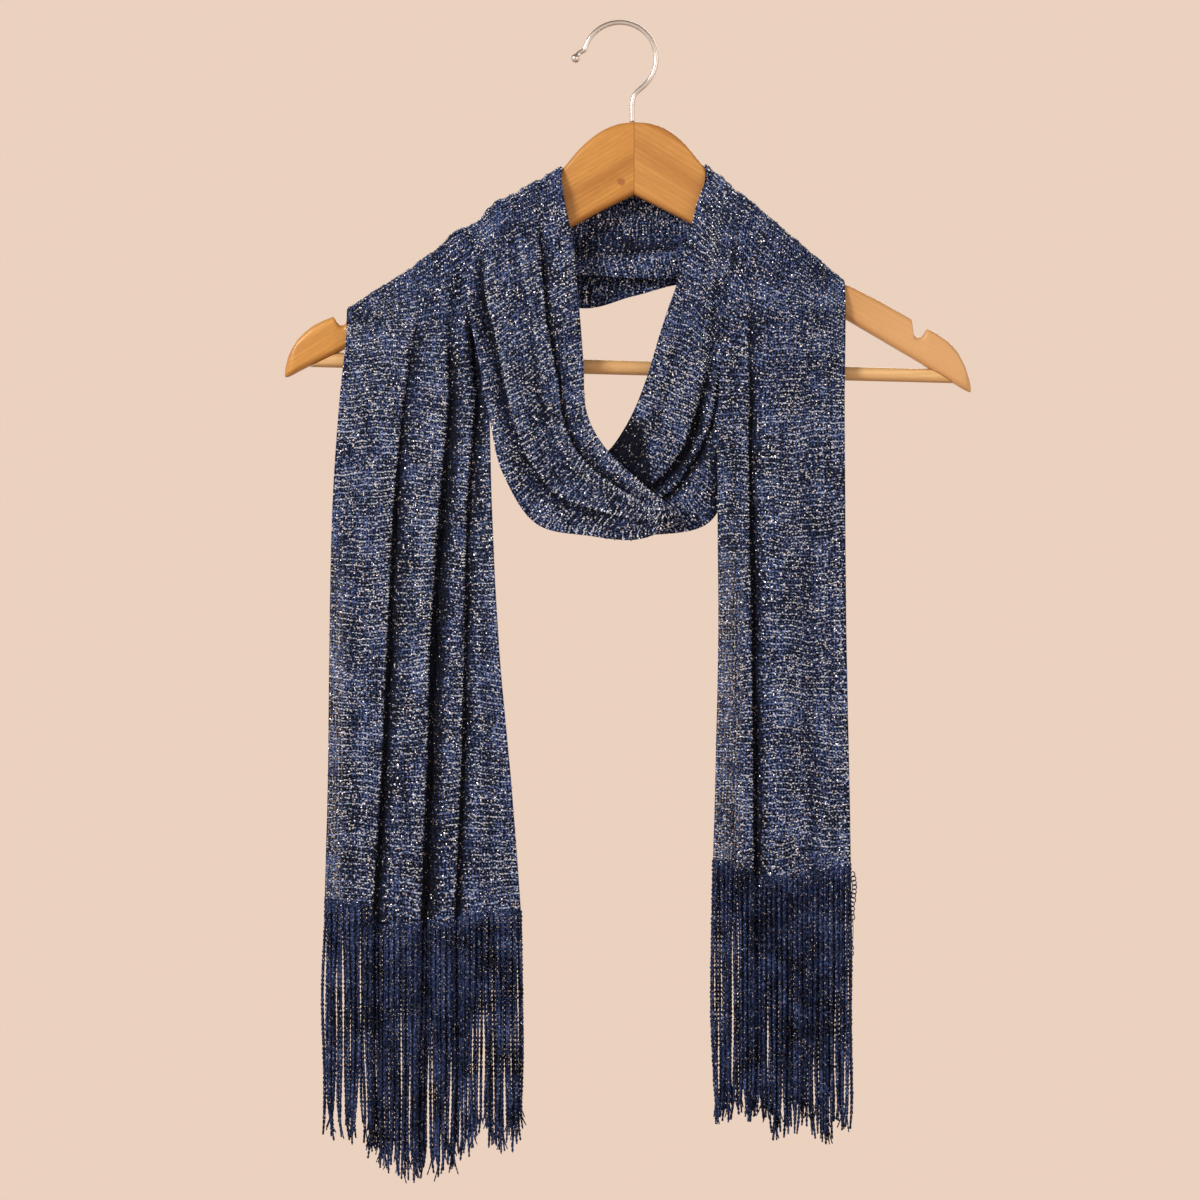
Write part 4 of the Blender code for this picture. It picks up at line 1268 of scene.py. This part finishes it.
# %% Wings
def skin_rings(name, bm, rings, mat):
    """A smooth solid through rings of vertices, closed at both ends."""
    for near, far in zip(rings, rings[1:]):
        for k in range(len(near)):
            n = (k + 1) % len(near)
            bm.faces.new((near[k], near[n], far[n], far[k]))
    bm.faces.new(rings[0])
    bm.faces.new(rings[-1][::-1])
    bmesh.ops.recalc_face_normals(bm, faces=bm.faces)
    mesh = bpy.data.meshes.new(name)
    bm.to_mesh(mesh)
    bm.free()
    mesh.shade_smooth()
    mesh.set_sharp_from_angle(angle=SHARP_EDGE)
    mesh.materials.append(mat)
    return add_object(name, mesh)


def make_wing(name, stations, mat):
    """A wing with round edges, and the rim attribute, partly painted shade, on them."""
    table = np.array(stations, float)
    distance = np.abs(table[:, 0] - table[0, 0])
    places = np.linspace(0, distance[-1], int(distance[-1] / WING_STEP))
    lines = np.stack([np.interp(places, distance, column) for column in table.T], axis=1)
    crown = slice(0, CROWN_STATIONS + 1)
    curved = places < distance[CROWN_STATIONS]
    lines[curved] = smooth_through(distance[crown], table[crown], places[curved])
    soft = np.array([0.25, 0.5, 0.25])
    for column in (1, 2):
        padded = np.pad(lines[:, column], 1, mode="reflect", reflect_type="odd")
        lines[:, column] = np.convolve(padded, soft, mode="valid")
    bm = bmesh.new()
    rim_layer = bm.verts.layers.float.new("rim")
    half = WOOD_THICK / 2
    rings = []
    for n, (x, top, bottom) in enumerate(lines):
        radius = min(WOOD_EDGE_RADIUS, (top - bottom) * CORNER_SHARE)
        closing = max(0.0, (n - len(lines) + TIP_RINGS) / TIP_RINGS)
        flatten = math.sqrt(max(0.05, 1 - closing ** 2))
        ring = []
        corners = ((half - radius, top - radius), (radius - half, top - radius),
                   (radius - half, bottom + radius), (half - radius, bottom + radius))
        for quarter, (cy, cz) in enumerate(corners):
            for step in range(CORNER_STEPS):
                angle = math.radians(90 * quarter + 90 * step / (CORNER_STEPS - 1))
                vert = bm.verts.new((x * MM, (cy + radius * math.cos(angle)) * flatten * MM,
                                     (cz + radius * math.sin(angle)) * MM))
                # The lower rounded edges get painted shade, the top ones a thin dark line, the
                # mitre a dark joint.
                fade = TOP_RIM_FADE if quarter < 2 else LOW_RIM_SHADE_FADE
                vert[rim_layer] = abs(math.sin(angle)) ** fade if n else MITRE_LINE
                ring.append(vert)
        rings.append(ring)
    return skin_rings(name, bm, rings, mat)


def place_piece(obj, replaced):
    """Attach a piece to the root body and hide the frame's part that it replaces."""
    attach(obj, "root")
    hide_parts(replaced)


PINE_LEFT = make_wood("honey pine, left", 31, (0.60, 0.295, 0.063, 1),
                      (0.38, 0.150, 0.024, 1), 105.0, knot=(0.0015, -0.006, -0.1025))
PINE_RIGHT = make_wood("honey pine, right", -31, (0.60, 0.305, 0.078, 1),
                       (0.41, 0.165, 0.032, 1), 95.0, pale_from=(0.09, 0.19))
PINE_BAR = make_wood("pale pine dowel", 1.4, (0.78, 0.525, 0.25, 1),
                     (0.57, 0.32, 0.120, 1), 90.0)
place_piece(make_wing("wood_left", LEFT_WING, PINE_LEFT), "wing_left")
place_piece(make_wing("wood_right", RIGHT_WING, PINE_RIGHT), "wing_right")

# %% [markdown]
# ## Bar and hook
# The bar is a plain dowel whose ends are cut to the slope of the wings. The hook is one bent
# steel wire that ends in a small ball, so that it doesn't scratch. Both follow their middle
# lines.

# %% Bar
BAR_DIAMETER = 9.4
BAR_PLAY = 0.6
# Fade of the rim attribute round the bar: a thin dark line on top, painted shade underneath.
BAR_TOP_FADE, BAR_LOW_SHADE_FADE = 5, 3
# Each end: x and z in millimetres, and the slope of the wing above it.
BAR_ENDS = ((-191.5, -217.2, 0.49), (209.5, -227.7, -0.5875))
BAR_SIDES = 40
BAR_RINGS = 60


def make_bar():
    """The trouser bar, its ends cut to the slope of the wings above."""
    bm = bmesh.new()
    rim_layer = bm.verts.layers.float.new("rim")
    rings = []
    radius = BAR_DIAMETER / 2
    for n in range(BAR_RINGS):
        t = n / (BAR_RINGS - 1)
        ring = []
        for k in range(BAR_SIDES):
            angle = 2 * math.pi * k / BAR_SIDES
            rise = math.sin(angle)
            dz = radius * rise
            ends = [x + math.copysign(BAR_PLAY, slope) + dz / slope for x, _, slope in BAR_ENDS]
            x = ends[0] + (ends[1] - ends[0]) * t
            z = BAR_ENDS[0][1] + (BAR_ENDS[1][1] - BAR_ENDS[0][1]) * t + dz
            vert = bm.verts.new((x * MM, radius * math.cos(angle) * MM, z * MM))
            # Painted shade along the underside, and a thin dark line along the top.
            vert[rim_layer] = max(0.0, -rise) ** BAR_LOW_SHADE_FADE + max(0.0, rise) ** BAR_TOP_FADE
            ring.append(vert)
        rings.append(ring)
    bar = skin_rings("dowel", bm, rings, PINE_BAR)
    place_piece(bar, "bar")


make_bar()

# %% Hook
HOOK_WIRE = 3.3
HOOK_RADIUS = 23.5
HOOK_CENTRE_X = 0.6
# Points of the middle line: x and z in millimetres, and at the tip how much thicker it is.
HOOK_SHANK = ((8.5, -62.7), (8.5, -57.0), (8.5, -52.0), (9.6, -46.5))
HOOK_TIP = ((-26.2, -18.6, 1.0), (-27.0, -19.8, 1.2), (-27.5, -20.6, 1.6), (-28.1, -21.5, 1.8),
            (-28.8, -22.4, 1.75), (-29.4, -23.2, 1.4), (-29.8, -23.8, 0.8), (-29.95, -24.0, 0.2))
HOOK_STEPS = 190
SMALLEST_SWELL = 0.15
STEEL_DARK, STEEL_LIGHT = (0.62, 0.61, 0.60, 1), (0.86, 0.86, 0.86, 1)


def make_hook():
    """The bent wire with its ball end."""
    centre_z = HOOK_WIRE / 2 - HOOK_RADIUS
    path = [(x, z, 1.0) for x, z in HOOK_SHANK]
    for degrees in range(-45, 166, 6):
        angle = math.radians(degrees)
        path.append((HOOK_CENTRE_X + HOOK_RADIUS * math.cos(angle),
                     centre_z + HOOK_RADIUS * math.sin(angle), 1.0))
    path += HOOK_TIP
    rows = np.array(path)
    steps = np.concatenate([[0], np.cumsum(np.hypot(*np.diff(rows[:, :2], axis=0).T))])
    fine = smooth_through(steps, rows, np.linspace(0, steps[-1], HOOK_STEPS))
    source = curve_object("wire", [[(x, 0, z, max(SMALLEST_SWELL, swell)) for x, z, swell in fine]])
    source.data.bevel_depth = HOOK_WIRE / 2 * MM
    source.data.bevel_resolution = 6
    source.data.use_fill_caps = True
    mesh = take_mesh(source)
    bm = bmesh.new()
    bm.from_mesh(mesh)
    bmesh.ops.remove_doubles(bm, verts=bm.verts, dist=0.01 * MM)
    bmesh.ops.recalc_face_normals(bm, faces=bm.faces)
    bm.to_mesh(mesh)
    bm.free()
    mesh.shade_smooth()
    mat, tree, bsdf = new_material("bright plated steel", metallic=1.0, roughness=0.22)
    wear = noise(tree, own_place(tree), 350.0, 4.0)["Fac"]
    feed(tree, bsdf, {"Base Color": blend_colours(tree, wear, STEEL_DARK, STEEL_LIGHT)})
    mesh.materials.append(mat)
    wire = add_object("wire_hook", mesh)
    place_piece(wire, "hook")


make_hook()
